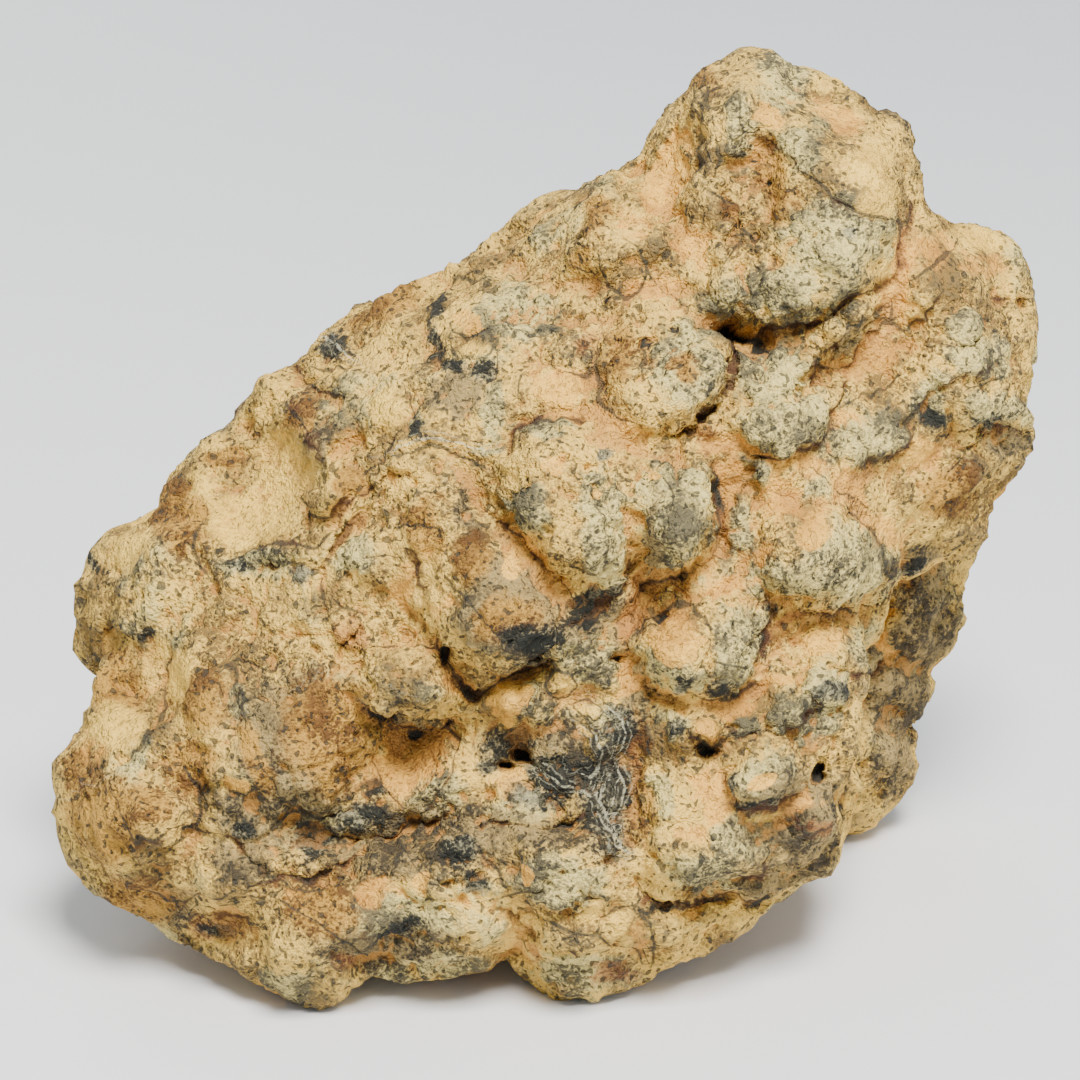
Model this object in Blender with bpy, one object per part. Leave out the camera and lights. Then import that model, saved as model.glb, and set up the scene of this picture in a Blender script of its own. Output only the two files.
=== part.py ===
"""A lunar meteorite: one natural stone, about 99 mm wide, 84 mm high and 72 mm deep.

Metres, +Z up. The stone is built up the way clay is: overlapping masses are melted into one
skin, the skin is drawn onto the stone's outline, lumps, hollows, ledges and crevices are worked
into its front, rounded cobbles and the seams between them cover its sides and back, and the
underside is ground flat at a few small feet.

Places on the front are written as they are seen from the front: millimetres across (to the
right), up, and near (towards the viewer), from the middle of the view.
"""

import math

import bmesh
import bpy
import numpy as np
from mathutils import Matrix, Vector

MM = 0.001

# The front view: seen from a little above level, from about 40 cm away.
VIEW_RISE = math.radians(20.3)
VIEW_DISTANCE = 397.8
VIEW_CENTRE = np.array((-1.0, -4.1, 38.4))
RIGHT = np.array((1.0, 0.0, 0.0))
UPWARD = np.array((0.0, math.sin(VIEW_RISE), math.cos(VIEW_RISE)))
TOWARDS = np.array((0.0, -math.cos(VIEW_RISE), math.sin(VIEW_RISE)))

# The masses that the stone is made up of, in millimetres: where each one's middle is (across,
# up, near), its half sizes (across, up, near), and how far it is turned anticlockwise.
MASSES = {
    "heart": ((1.0, -3.0, -3.0), (38.0, 27.5, 23.0), 25.0),
    "lower_left": ((-31.0, -23.5, 3.0), (17.5, 15.0, 14.0), 0.0),
    "left_shoulder": ((-29.0, -3.0, -6.0), (17.0, 16.0, 15.0), 20.0),
    "upper_left_slope": ((-10.0, 11.0, -7.0), (27.0, 15.0, 17.0), 40.0),
    "top_block": ((24.0, 29.0, -5.0), (15.5, 20.0, 16.0), -12.0),
    "top_shoulder": ((10.0, 22.0, -4.0), (14.0, 14.0, 13.0), 0.0),
    "right_lobe": ((36.0, 14.0, -9.0), (13.5, 17.0, 15.0), 0.0),
    "lower_right": ((16.0, -20.0, 5.0), (17.0, 20.0, 15.0), 0.0),
    "belly": ((1.0, -33.0, 9.0), (25.0, 12.0, 11.0), 0.0),
    "front_toe": ((-23.0, -38.0, 11.0), (11.0, 8.0, 8.0), 0.0),
    "underside": ((8.0, -20.0, -13.0), (26.0, 10.0, 14.0), 0.0),
    "right_buttress": ((30.0, -6.0, -23.0), (14.5, 17.0, 11.0), 0.0),
    "right_heel": ((28.0, -19.0, -24.0), (11.0, 10.5, 10.0), 0.0),
    "back_swell": ((4.0, 6.0, -19.0), (30.0, 24.0, 14.0), 25.0),
    "back_bump": ((1.0, 28.0, -22.0), (8.0, 7.0, 8.0), 0.0),
    "back_left": ((-22.0, -10.0, -17.0), (20.0, 16.0, 13.0), 0.0),
    "back_heel": ((-12.0, -18.0, -22.0), (12.0, 9.5, 9.0), 0.0),
}
MASS_SUBDIVISIONS = 4
MELT_VOXEL = 1.3
MELT_ROUNDS = 12
MELT_SHARE = 0.5

# The stone's outline as the front view shows it (across, up), clockwise from the left.
OUTLINE = (
    (-49.0, -25.5), (-48.9, -22.7), (-45.8, -19.6), (-45.1, -17.2), (-45.0, -14.9),
    (-45.3, -12.5), (-46.4, -10.2), (-46.8, -7.8), (-46.5, -5.4), (-45.1, -3.1), (-45.1, -1.2),
    (-44.6, 0.2), (-43.0, 1.4), (-40.6, 1.9), (-38.3, 4.0), (-35.5, 8.5), (-34.0, 10.2),
    (-31.0, 11.5), (-30.2, 13.3), (-28.8, 15.2), (-24.1, 18.2), (-22.7, 19.9), (-19.8, 22.2),
    (-16.5, 24.5), (-13.9, 25.1), (-10.4, 27.0), (-8.3, 27.3), (-5.7, 29.3), (-3.3, 31.0),
    (-2.1, 32.4), (-1.3, 34.0), (1.1, 35.0), (3.0, 35.2), (5.8, 36.4), (9.4, 38.2),
    (11.1, 40.9), (12.3, 42.6), (12.6, 43.7), (14.2, 46.3), (16.1, 48.2), (18.9, 49.0),
    (21.1, 49.9), (22.2, 49.6), (23.6, 48.5), (27.0, 47.5), (30.5, 45.6), (34.0, 43.3),
    (36.4, 41.6), (37.3, 40.2), (37.8, 37.8), (38.2, 34.0), (39.4, 33.3), (42.2, 31.9),
    (45.5, 31.6), (47.4, 30.0), (48.8, 27.9), (49.8, 23.4), (50.0, 19.8), (49.7, 16.3),
    (49.3, 11.6), (48.6, 7.6), (47.4, 5.7), (45.5, 4.3), (45.0, 2.1), (44.1, -1.4),
    (43.0, -3.5), (42.3, -5.9), (41.4, -10.8), (40.4, -12.0), (38.8, -12.8), (39.4, -14.4),
    (39.9, -16.0), (38.8, -17.3), (37.4, -18.3), (37.5, -20.7), (38.0, -23.7), (36.8, -25.7),
    (36.2, -26.8), (34.3, -28.2), (32.0, -28.9), (31.5, -30.3), (30.1, -33.4), (28.4, -35.0),
    (26.0, -35.5), (24.4, -36.2), (21.4, -39.1), (17.9, -41.0), (15.5, -42.7), (12.0, -43.1),
    (8.4, -44.4), (4.4, -45.3), (0.6, -44.4), (-2.2, -43.4), (-3.4, -42.4), (-6.2, -43.8),
    (-10.0, -44.7), (-13.0, -44.3), (-16.3, -44.7), (-19.4, -43.8), (-20.6, -45.9),
    (-22.4, -46.7), (-23.9, -47.0), (-26.1, -45.3), (-28.9, -45.1), (-30.4, -43.3),
    (-33.5, -42.2), (-35.5, -40.6), (-36.7, -41.3), (-39.6, -39.4), (-40.2, -38.2),
    (-42.0, -38.7), (-43.9, -37.9), (-45.9, -36.3), (-48.1, -33.3), (-48.8, -29.2),
)
OUTLINE_MIDDLE = np.array((2.0, -2.0))
OUTLINE_STEPS = 360
OUTLINE_HOLD = 0.55

# The corner cut out at the lower right, between the right lobe's underside and the front mass's
# edge (across, up): how near the masses behind it come, and how far it runs in behind its edge.
RECESS = (
    (33.6, 0.6), (34.6, -2.0), (34.8, -6.2), (34.0, -9.0), (33.4, -12.2), (31.0, -14.2),
    (30.2, -17.0), (30.0, -20.0), (31.0, -23.0), (31.8, -26.0), (31.6, -29.0), (33.0, -36.0),
    (60.0, -36.0), (60.0, 6.0), (49.6, 5.6), (46.0, 3.4), (42.4, -0.4), (38.0, -2.0),
)
RECESS_NEAR = -12.5
RECESS_OPEN = 40.0
RECESS_MIDDLE = np.array((44.0, -14.0))
RECESS_UNDERCUT = 1.05
RECESS_VOXEL = 1.1
RECESS_ROUNDS = 4

# Lumps of the front, in millimetres: middle (across, up), half sizes (across, up), turn, rise
# towards the viewer, and how much further its lower edge stands out than its upper one, as a
# share of the rise.
LUMPS = {
    "block_face": ((31.0, 36.0), (7.6, 10.5), -18.0, 2.2, 0.0),
    "block_brow": ((20.0, 43.0), (5.0, 5.0), 0.0, 1.2, 0.0),
    "block_foot": ((27.5, 26.2), (8.0, 3.6), 25.0, 2.0, 0.3),
    "hollow_rib": ((15.9, 38.0), (1.4, 9.0), -4.0, 1.6, 0.0),
    "shoulder_knob": ((6.0, 30.4), (3.8, 4.6), 0.0, 3.0, 0.2),
    "shoulder_band": ((13.4, 27.6), (4.4, 3.2), -35.0, 1.4, 0.0),
    "boxy_lump": ((12.8, 17.4), (6.8, 6.4), -10.0, 3.4, 0.25),
    "grey_lobe": ((24.0, 14.4), (6.2, 5.4), 25.0, 2.6, 0.3),
    "seam_chip": ((31.6, 21.8), (3.6, 1.8), 35.0, 1.4, 0.0),
    "lobe_crown": ((42.6, 26.0), (5.6, 4.6), 0.0, 1.6, 0.0),
    "lobe_shelf": ((34.6, 12.0), (5.6, 5.6), -10.0, 1.8, 0.3),
    "lobe_flank": ((43.6, 17.6), (5.4, 5.2), -20.0, 1.8, 0.2),
    "lobe_knob": ((40.0, 3.6), (6.4, 4.0), 25.0, 2.0, 0.3),
    "lobe_saddle": ((27.0, 7.6), (5.4, 2.6), 0.0, 1.0, 0.2),
    "dome": ((3.0, 4.0), (6.6, 8.4), 12.0, 3.8, 0.2),
    "dome_clast": ((-0.6, 2.8), (2.4, 3.0), 0.0, 0.6, 0.0),
    "speckled_knob": ((13.3, 2.9), (4.3, 5.6), 0.0, 4.2, 0.35),
    "slanted_lump": ((-6.2, -4.4), (6.4, 9.4), 32.0, 3.4, 0.35),
    "slanted_ear": ((-11.4, 1.6), (4.4, 4.6), 10.0, 1.4, 0.2),
    "rolled_edge": ((-15.4, -2.4), (4.2, 3.2), 0.0, 1.6, 0.0),
    "small_lump": ((-13.0, -13.4), (4.6, 3.6), -5.0, 3.2, 0.4),
    "middle_clast": ((-3.6, -16.4), (4.6, 2.8), 0.0, 1.6, 0.0),
    "dark_shelf": ((3.0, -12.0), (3.4, 3.0), -30.0, 1.4, 0.2),
    "pale_lump": ((16.4, -10.8), (6.6, 4.4), 10.0, 3.2, 0.2),
    "cream_knob": ((28.2, -1.3), (6.6, 5.8), -10.0, 3.4, 0.35),
    "small_knob": ((30.0, -10.4), (3.8, 3.2), 0.0, 3.0, 0.3),
    "stacked_knob": ((26.0, -15.0), (4.4, 2.8), 35.0, 2.0, 0.3),
    "orange_clast": ((16.2, -19.0), (2.4, 2.0), 0.0, 1.6, 0.3),
    "ring_lump": ((22.2, -24.2), (4.2, 3.8), 0.0, 2.6, 0.3),
    "rust_knob": ((27.6, -28.6), (3.4, 3.0), 0.0, 1.8, 0.3),
    "lower_swell": ((15.6, -29.4), (6.0, 6.0), 10.0, 2.8, 0.4),
    "brown_dome": ((-23.0, -19.5), (7.6, 7.4), 0.0, 2.6, 0.0),
    "left_cheek": ((-41.6, -5.0), (4.0, 6.0), 0.0, 2.0, 0.2),
    "left_shelf": ((-33.0, -12.4), (4.6, 6.0), -20.0, 1.2, 0.0),
    "hollow_peak": ((-22.0, 7.4), (2.0, 5.6), 25.0, 2.2, 0.2),
    "hollow_brow": ((-29.0, 11.0), (4.0, 2.0), 40.0, 1.0, 0.0),
    "ring_disc": ((-7.0, 20.4), (3.4, 5.4), -10.0, 1.2, 0.0),
    "orange_pebble": ((-21.4, 16.8), (2.2, 1.8), 0.0, 1.6, 0.5),
    "corner_lump": ((-42.8, -29.0), (5.6, 6.4), 0.0, 2.2, 0.2),
    "gold_lump": ((-38.4, -28.6), (3.6, 3.6), 0.0, 1.2, 0.2),
    "low_left_swell": ((-33.0, -34.0), (5.4, 3.4), 10.0, 1.6, 0.3),
    "toe_lump": ((-25.0, -40.8), (5.0, 3.6), -20.0, 1.8, 0.0),
    "low_lump": ((-10.0, -40.4), (6.4, 3.2), 5.0, 2.0, 0.2),
    "low_shelf": ((-13.0, -34.6), (7.0, 3.2), 0.0, 1.2, 0.2),
    "low_swell": ((3.0, -31.6), (5.0, 3.0), -5.0, 1.8, 0.2),
    "left_ridge": ((-31.0, -22.0), (3.0, 4.4), 20.0, 1.4, 0.2),
    "foot_of_dome": ((-17.0, -26.6), (4.6, 2.6), 10.0, 1.2, 0.2),
    "wide_clast": ((-7.4, -24.0), (4.4, 2.6), 0.0, 1.2, 0.2),
    "dark_lump": ((-8.0, -30.6), (3.4, 2.2), 0.0, 1.0, 0.2),
    "streaked_lump": ((2.4, -22.6), (5.0, 3.4), -20.0, 1.2, 0.0),
    "grey_steps": ((24.6, -19.6), (4.4, 2.4), 30.0, 1.4, 0.3),
    "belly_lump": ((9.0, -42.0), (7.0, 3.0), 15.0, 1.8, 0.2),
    "belly_chin": ((3.0, -42.6), (5.0, 2.6), 0.0, 1.4, 0.0),
    "buttress_face": ((39.0, -7.4), (3.4, 5.0), 0.0, 2.4, 0.2),
    "buttress_knob": ((36.6, -15.4), (3.2, 3.0), 0.0, 2.6, 0.3),
    "heel_face": ((34.4, -23.4), (3.4, 5.4), 0.0, 2.6, 0.2),
}

# Hollows of the front: middle, half sizes, turn and depth.
HOLLOWS = {
    "block_dent": ((22.0, 37.0), (2.6, 5.0), -10.0, 2.0),
    "block_pit": ((20.0, 31.6), (2.4, 3.0), -30.0, 1.6),
    "smooth_hollow": ((12.6, 36.6), (2.6, 5.0), -20.0, 2.6),
    "grey_lobe_dip": ((21.0, 18.6), (3.0, 1.8), -10.0, 1.6),
    "corner_pocket": ((44.6, 10.6), (3.4, 1.6), 35.0, 2.6),
    "orange_hollow": ((-13.2, -20.6), (5.0, 3.6), 0.0, 3.0),
    "left_hollow": ((-41.4, -16.0), (4.4, 4.4), 0.0, 3.2),
    "cream_hollow": ((-28.2, 4.6), (6.6, 5.4), 30.0, 2.4),
    "rust_hollow": ((-32.4, -39.2), (3.6, 1.8), -10.0, 3.2),
    "slit_hollow": ((2.6, -28.2), (2.2, 1.2), 10.0, 1.8),
}
HOLLOW_EASE = 1.3
# How flat the lumps are on top, and how steep they are at their edges.
LUMP_FLATNESS = 1.5
LUMP_STEEPNESS = 0.75
# How squarely a place must face the viewer to have none, and all, of the front's relief.
FACING_NONE = 0.1
FACING_ALL = 0.45

# Ledges of the front: the points that each one's edge runs through, with the high side on the
# left of the way it runs, its height, and how far back the high side slopes away.
LEDGES = {
    "block_edge": (
        ((22.0, 20.0), (25.0, 22.2), (28.0, 22.2), (30.6, 23.4), (33.6, 25.2), (36.0, 26.4),
         (37.6, 32.0), (37.8, 39.0)),
        2.6, 7.0,
    ),
    "chip_edge": (((26.6, 17.0), (29.4, 19.6), (31.6, 21.6), (34.4, 22.6), (35.2, 24.6)), 1.6, 3.0),
    "boxy_edge": (
        ((5.8, 21.6), (5.6, 16.0), (7.4, 12.4), (11.6, 11.4), (15.0, 10.8), (17.6, 14.0),
         (19.2, 16.4), (19.4, 19.4)),
        1.4, 4.0,
    ),
    "lobe_edge": (((22.4, 8.6), (26.2, 8.8), (28.8, 11.0), (30.4, 15.4)), 1.4, 4.0),
    "band_edge": (((33.4, 7.4), (36.2, 8.4), (37.2, 12.0), (38.4, 15.2)), 1.0, 3.0),
    "dome_edge": (((4.6, 12.0), (0.4, 11.9), (-2.4, 10.8), (-3.2, 8.4)), 1.2, 4.0),
    "knob_edge": (((9.4, -4.6), (10.6, -3.0), (15.0, -2.9), (17.2, -0.6), (17.4, 6.0)), 1.6, 3.0),
    "slanted_edge": (((-9.6, -11.0), (-7.2, -14.6), (-2.6, -13.4), (0.4, -11.6)), 2.4, 5.0),
    "small_edge": (((-17.0, -16.4), (-13.6, -18.2), (-9.4, -17.6)), 1.8, 4.0),
    "cream_edge": (((25.8, -6.0), (30.0, -6.4), (34.6, -6.0)), 1.6, 4.0),
    "swell_edge": (((10.8, -34.2), (13.4, -35.7), (17.8, -35.4), (22.4, -34.8)), 2.6, 4.0),
    "vein_edge": (
        ((-17.2, 4.2), (-21.6, -1.4), (-24.0, -1.6), (-29.6, -1.8), (-34.0, -1.6)),
        -1.0, 4.0,
    ),
}
LEDGE_SOFTNESS = 0.7

# Crevices of the front: the points that each one runs through (across, up), its half width
# and its depth.
CREVICES = {
    "block_seam": (
        ((37.4, 32.0), (35.4, 25.0), (35.2, 22.4), (32.0, 19.0), (28.6, 17.0), (25.8, 14.8)),
        1.3, 3.0,
    ),
    "dark_hole": (((18.4, 20.4), (20.0, 20.4), (22.0, 19.6)), 1.2, 3.6),
    "boxy_underside": (((19.0, 14.6), (17.0, 12.0), (15.0, 10.6), (11.6, 10.9)), 1.0, 2.4),
    "knob_right": (((17.6, 6.0), (17.9, 2.0), (17.4, -1.6)), 1.0, 2.0),
    "knob_underside": (((16.6, -3.2), (12.6, -3.6), (10.0, -4.0)), 1.0, 2.4),
    "slanted_seam": (((-5.0, 3.0), (-2.0, 0.4), (0.6, -2.6), (1.8, -5.0)), 0.9, 1.8),
    "dome_underside": (((8.2, -2.0), (6.0, -6.0), (2.6, -8.0), (0.6, -6.6)), 1.0, 1.6),
    "slanted_slit": (((-9.4, -12.6), (-7.0, -14.9), (-3.0, -13.8), (0.4, -12.2)), 0.9, 2.6),
    "small_slit": (((-16.6, -17.6), (-13.4, -18.6), (-9.4, -18.0)), 0.9, 1.8),
    "cream_slit": (((26.4, -6.8), (30.0, -7.0), (34.2, -6.6)), 0.9, 2.0),
    "low_crevice": (((-24.0, -31.0), (-19.0, -31.0), (-15.0, -29.2), (-9.6, -27.4)), 0.9, 1.8),
    "swell_slit": (((11.0, -35.4), (14.0, -36.8), (18.0, -36.6), (22.4, -35.6)), 1.1, 2.6),
    "corner_seam": (((-35.4, -24.0), (-34.6, -29.0), (-37.0, -33.0), (-39.6, -36.0)), 0.9, 1.2),
    "clast_seam": (((-2.6, -37.6), (-1.0, -39.4), (1.0, -41.0)), 0.8, 1.2),
    "side_seam": (((-45.0, -26.4), (-40.0, -24.0), (-36.0, -22.0)), 0.9, 1.0),
    "brown_groove": (
        ((9.0, -3.6), (9.2, -8.0), (9.6, -11.6), (11.2, -15.4), (10.2, -20.0), (9.4, -25.0),
         (9.0, -29.6), (10.4, -34.0)),
        1.5, 1.5,
    ),
}

# Cobbles: how far apart their middles are, how far they stand out, the width and depth of the
# seams between them, and how much of them the front has.
SEED = 11
COBBLES = ((15.0, 2.6, 1.6, 1.8, 0.0), (7.0, 1.1, 0.9, 0.9, 0.45))
COBBLE_MARGIN = 8.0
# How deep the seams between cobbles are on average, as a share of their full depth.
SEAM_SHARE = 0.65
# Unevenness that bends every edge and seam: its grain and how far it shifts them.
WANDER_GRAIN = 6.0
WANDER = 1.1
# Broad unevenness of the whole skin: its grain and height.
SWELL_GRAIN = 12.0
SWELL = 1.0

# The feet: where each one stands on the ground (x, y), and its radius.
FEET = {
    "front_toe": ((-23.5, -31.0), 6.5),
    "belly": ((4.0, -27.0), 8.0),
    "right_heel": ((32.0, 9.5), 7.0),
    "back_heel": ((-14.0, 10.0), 8.0),
}
# Its sole and its middle as shares of its radius, how far below the ground it is drawn before it
# is ground flat, and how high up the stone it reaches.
FOOT_SOLE = 0.3
FOOT_MIDDLE = 0.5
FOOT_SINK = 1.2
FOOT_TOP = 14.0
# The underside: from what height down it is flattened, and how far above the ground it stays.
UNDERSIDE_TOP = 3.5
FLOOR_GAP = 1.2
# Hollows of the underside between the feet: middle (x, y), half sizes, turn and height.
UNDERSIDE_HOLLOWS = {
    "left": ((-24.0, -13.0), (15.0, 9.0), 10.0, 3.6),
    "middle": ((-4.0, -6.0), (12.0, 9.0), -20.0, 4.6),
    "right": ((16.0, -13.0), (10.0, 7.5), 30.0, 3.4),
    "rear": ((9.0, 8.0), (14.0, 8.0), 10.0, 4.4),
    "rear_left": ((-30.0, 4.0), (9.0, 7.0), 0.0, 2.4),
}
# Unevenness of the underside: its grain and height, and how high up the stone it reaches.
UNDERSIDE_GRAIN = 6.5
UNDERSIDE_SWELL = 1.5
UNDERSIDE_REACH = 18.0
# The underside starts behind the stone's lower front edge: from here back it is all hollowed.
UNDERSIDE_EDGE = (-28.0, -20.0)

# The finished skin: its grain, how many rounds it is smoothed, and about how many faces it has.
SKIN_VOXEL = 0.9
SKIN_ROUNDS = 2
FACE_COUNT = 9600

STONE_COLOUR = (0.55, 0.42, 0.26, 1.0)
STONE_ROUGHNESS = 0.92


def seen(across, up, near):
    """World places in millimetres of places given as the front view shows them."""
    shrink = 1.0 - near / VIEW_DISTANCE
    return (
        VIEW_CENTRE
        + np.multiply.outer(across * shrink, RIGHT)
        + np.multiply.outer(up * shrink, UPWARD)
        + np.multiply.outer(near, TOWARDS)
    )


def as_seen(places):
    """How the front view shows world places given in millimetres: across, up and near."""
    offsets = places - VIEW_CENTRE
    near = offsets @ TOWARDS
    shrink = 1.0 - near / VIEW_DISTANCE
    return offsets @ RIGHT / shrink, offsets @ UPWARD / shrink, near


def smoothstep(low, high, values):
    """0 below low, 1 above high, and an S-curve between them."""
    share = np.clip((values - low) / (high - low), 0.0, 1.0)
    return share * share * (3.0 - 2.0 * share)


def read_mesh(mesh):
    """A mesh's vertex places and outward normals, the places in millimetres."""
    places = np.empty(len(mesh.vertices) * 3)
    mesh.vertices.foreach_get("co", places)
    normals = np.empty(len(mesh.vertices) * 3)
    mesh.vertex_normals.foreach_get("vector", normals)
    return places.reshape(-1, 3) / MM, normals.reshape(-1, 3)


def write_mesh(mesh, places):
    """Move a mesh's vertices to places given in millimetres."""
    mesh.vertices.foreach_set("co", (places * MM).ravel())
    mesh.update()


def evaluated(shape):
    """The mesh that an object's modifiers give; the object is taken away."""
    bpy.context.view_layer.update()
    finished = shape.evaluated_get(bpy.context.evaluated_depsgraph_get())
    result = bpy.data.meshes.new_from_object(finished)
    bpy.data.objects.remove(shape)
    return result


def reskin(mesh, voxel, rounds):
    """A new mesh with one even skin around all of a mesh's bodies, smoothed a few rounds."""
    shape = bpy.data.objects.new("skin", mesh)
    bpy.context.scene.collection.objects.link(shape)
    remesh = shape.modifiers.new("one skin", "REMESH")
    remesh.mode = "VOXEL"
    remesh.voxel_size = voxel * MM
    smooth = shape.modifiers.new("melt", "SMOOTH")
    smooth.factor = MELT_SHARE
    smooth.iterations = rounds
    return evaluated(shape)


def melted_masses():
    """The masses as overlapping balls, pressed to size and melted into one skin."""
    balls = bmesh.new()
    for middle, halves, turn in MASSES.values():
        place = Vector(seen(*np.array(middle)) * MM)
        axes = Matrix((RIGHT, UPWARD, TOWARDS)).transposed().to_4x4()
        size = Matrix.Diagonal((*np.array(halves) * MM, 1.0))
        turned = Matrix.Rotation(math.radians(turn), 4, "Z")
        bmesh.ops.create_icosphere(
            balls,
            subdivisions=MASS_SUBDIVISIONS,
            radius=1.0,
            matrix=Matrix.Translation(place) @ axes @ turned @ size,
        )
    mesh = bpy.data.meshes.new("masses")
    balls.to_mesh(mesh)
    balls.free()
    return reskin(mesh, MELT_VOXEL, MELT_ROUNDS)


def draw_to_outline(across, up):
    """Draw the skin in or out from the middle until its edge lies on the stone's outline."""
    outline = np.array(OUTLINE) - OUTLINE_MIDDLE
    outline_turn = np.arctan2(outline[:, 1], outline[:, 0])
    outline_reach = np.hypot(outline[:, 0], outline[:, 1])
    order = np.argsort(outline_turn)
    sideways = across - OUTLINE_MIDDLE[0]
    upwards = up - OUTLINE_MIDDLE[1]
    turn = np.arctan2(upwards, sideways)
    reach = np.hypot(sideways, upwards)
    step = ((turn + math.pi) / (2.0 * math.pi) * OUTLINE_STEPS).astype(int) % OUTLINE_STEPS
    edge = np.zeros(OUTLINE_STEPS)
    np.maximum.at(edge, step, reach)
    edge = (np.roll(edge, 1) + 2.0 * edge + np.roll(edge, -1)) / 4.0
    step_turn = (np.arange(OUTLINE_STEPS) + 0.5) / OUTLINE_STEPS * 2.0 * math.pi - math.pi
    wanted = np.interp(step_turn, outline_turn[order], outline_reach[order], period=2.0 * math.pi)
    skin_edge = np.interp(turn, step_turn, edge, period=2.0 * math.pi)
    stretch = np.interp(turn, step_turn, wanted / edge, period=2.0 * math.pi)
    hold = smoothstep(OUTLINE_HOLD, 1.0, reach / skin_edge)
    factor = 1.0 + (stretch - 1.0) * hold
    return OUTLINE_MIDDLE[0] + sideways * factor, OUTLINE_MIDDLE[1] + upwards * factor


def oval_lump(across, up, middle, halves, turn, lean):
    """Height of a lump: 1 in the middle of an oval, rounding off to 0 at its edge."""
    angle = math.radians(turn)
    sideways = (across - middle[0]) * math.cos(angle) + (up - middle[1]) * math.sin(angle)
    upwards = (up - middle[1]) * math.cos(angle) - (across - middle[0]) * math.sin(angle)
    spread = (sideways / halves[0]) ** 2 + (upwards / halves[1]) ** 2
    rounded = np.clip(1.0 - spread**LUMP_FLATNESS, 0.0, 1.0) ** LUMP_STEEPNESS
    return rounded * (1.0 - lean * upwards / halves[1])


def oval_hollow(across, up, middle, halves, turn):
    """Depth of a hollow: 1 in the middle of an oval, easing off to 0 at its edge."""
    return oval_lump(across, up, middle, np.array(halves) * HOLLOW_EASE, turn, 0.0) ** 2


def line_distance(across, up, points):
    """Distance of each place from a line through a few points, above 0 on the line's left."""
    nearest = np.full(len(across), np.inf)
    side = np.ones(len(across))
    for start, end in zip(points[:-1], points[1:]):
        run = np.array(end) - np.array(start)
        sideways = across - start[0]
        upwards = up - start[1]
        along = np.clip((sideways * run[0] + upwards * run[1]) / (run @ run), 0.0, 1.0)
        gap = np.hypot(sideways - along * run[0], upwards - along * run[1])
        left = np.where(run[0] * upwards - run[1] * sideways >= 0.0, 1.0, -1.0)
        side = np.where(gap < nearest, left, side)
        nearest = np.minimum(nearest, gap)
    return nearest * side


def front_relief(across, up):
    """How far the front's lumps, ledges, hollows and crevices stand towards the viewer."""
    rise = np.zeros(len(across))
    for middle, halves, turn, height, lean in LUMPS.values():
        rise += height * oval_lump(across, up, middle, halves, turn, lean)
    for middle, halves, turn, depth in HOLLOWS.values():
        rise -= depth * oval_hollow(across, up, middle, halves, turn)
    for points, height, reach in LEDGES.values():
        above = line_distance(across, up, points)
        step = smoothstep(-LEDGE_SOFTNESS, LEDGE_SOFTNESS, above)
        rise += height * step * np.exp(-((above / reach) ** 2))
    for points, half_width, depth in CREVICES.values():
        rise -= depth * np.exp(-((line_distance(across, up, points) / half_width) ** 2))
    return rise


def uneven(places, grain, chance):
    """Smooth random hills between -1 and 1, a grain apart, worked out on a box of knots."""
    low = places.min(axis=0) - grain
    spots = (places - low) / grain
    size = np.ceil(spots.max(axis=0)).astype(int) + 2
    knots = chance.uniform(-1.0, 1.0, size)
    whole = spots.astype(int)
    part = spots - whole
    part = part * part * (3.0 - 2.0 * part)
    total = np.zeros(len(places))
    for corner in np.ndindex(2, 2, 2):
        knot = whole + corner
        share = np.prod(np.where(corner, part, 1.0 - part), axis=1)
        total += share * knots[knot[:, 0], knot[:, 1], knot[:, 2]]
    return total


def nearest_two(places, middles):
    """Distances from each place to its nearest and second nearest middle."""
    nearest = np.full(len(places), np.inf)
    second = np.full(len(places), np.inf)
    for middle in middles:
        gap = np.linalg.norm(places - middle, axis=1)
        second = np.minimum(second, np.maximum(nearest, gap))
        nearest = np.minimum(nearest, gap)
    return nearest, second


def cobble_relief(places, front):
    """How far cobbles stand out, less the seams between them, with fewer on the front."""
    chance = np.random.default_rng(SEED)
    low = places.min(axis=0) - COBBLE_MARGIN
    high = places.max(axis=0) + COBBLE_MARGIN
    rise = np.zeros(len(places))
    for spacing, height, seam_width, seam_depth, front_share in COBBLES:
        count = int(np.prod((high - low) / spacing))
        middles = chance.uniform(low, high, (count, 3))
        nearest, second = nearest_two(places, middles)
        share = 1.0 - front * (1.0 - front_share)
        patches = SEAM_SHARE + (1.0 - SEAM_SHARE) * uneven(places, 2.0 * spacing, chance)
        rise += share * height * (1.0 - (nearest / spacing) ** 2)
        rise -= share * patches * seam_depth * np.exp(-(((second - nearest) / seam_width) ** 2))
    return rise + SWELL * uneven(places, SWELL_GRAIN, chance)


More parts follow.
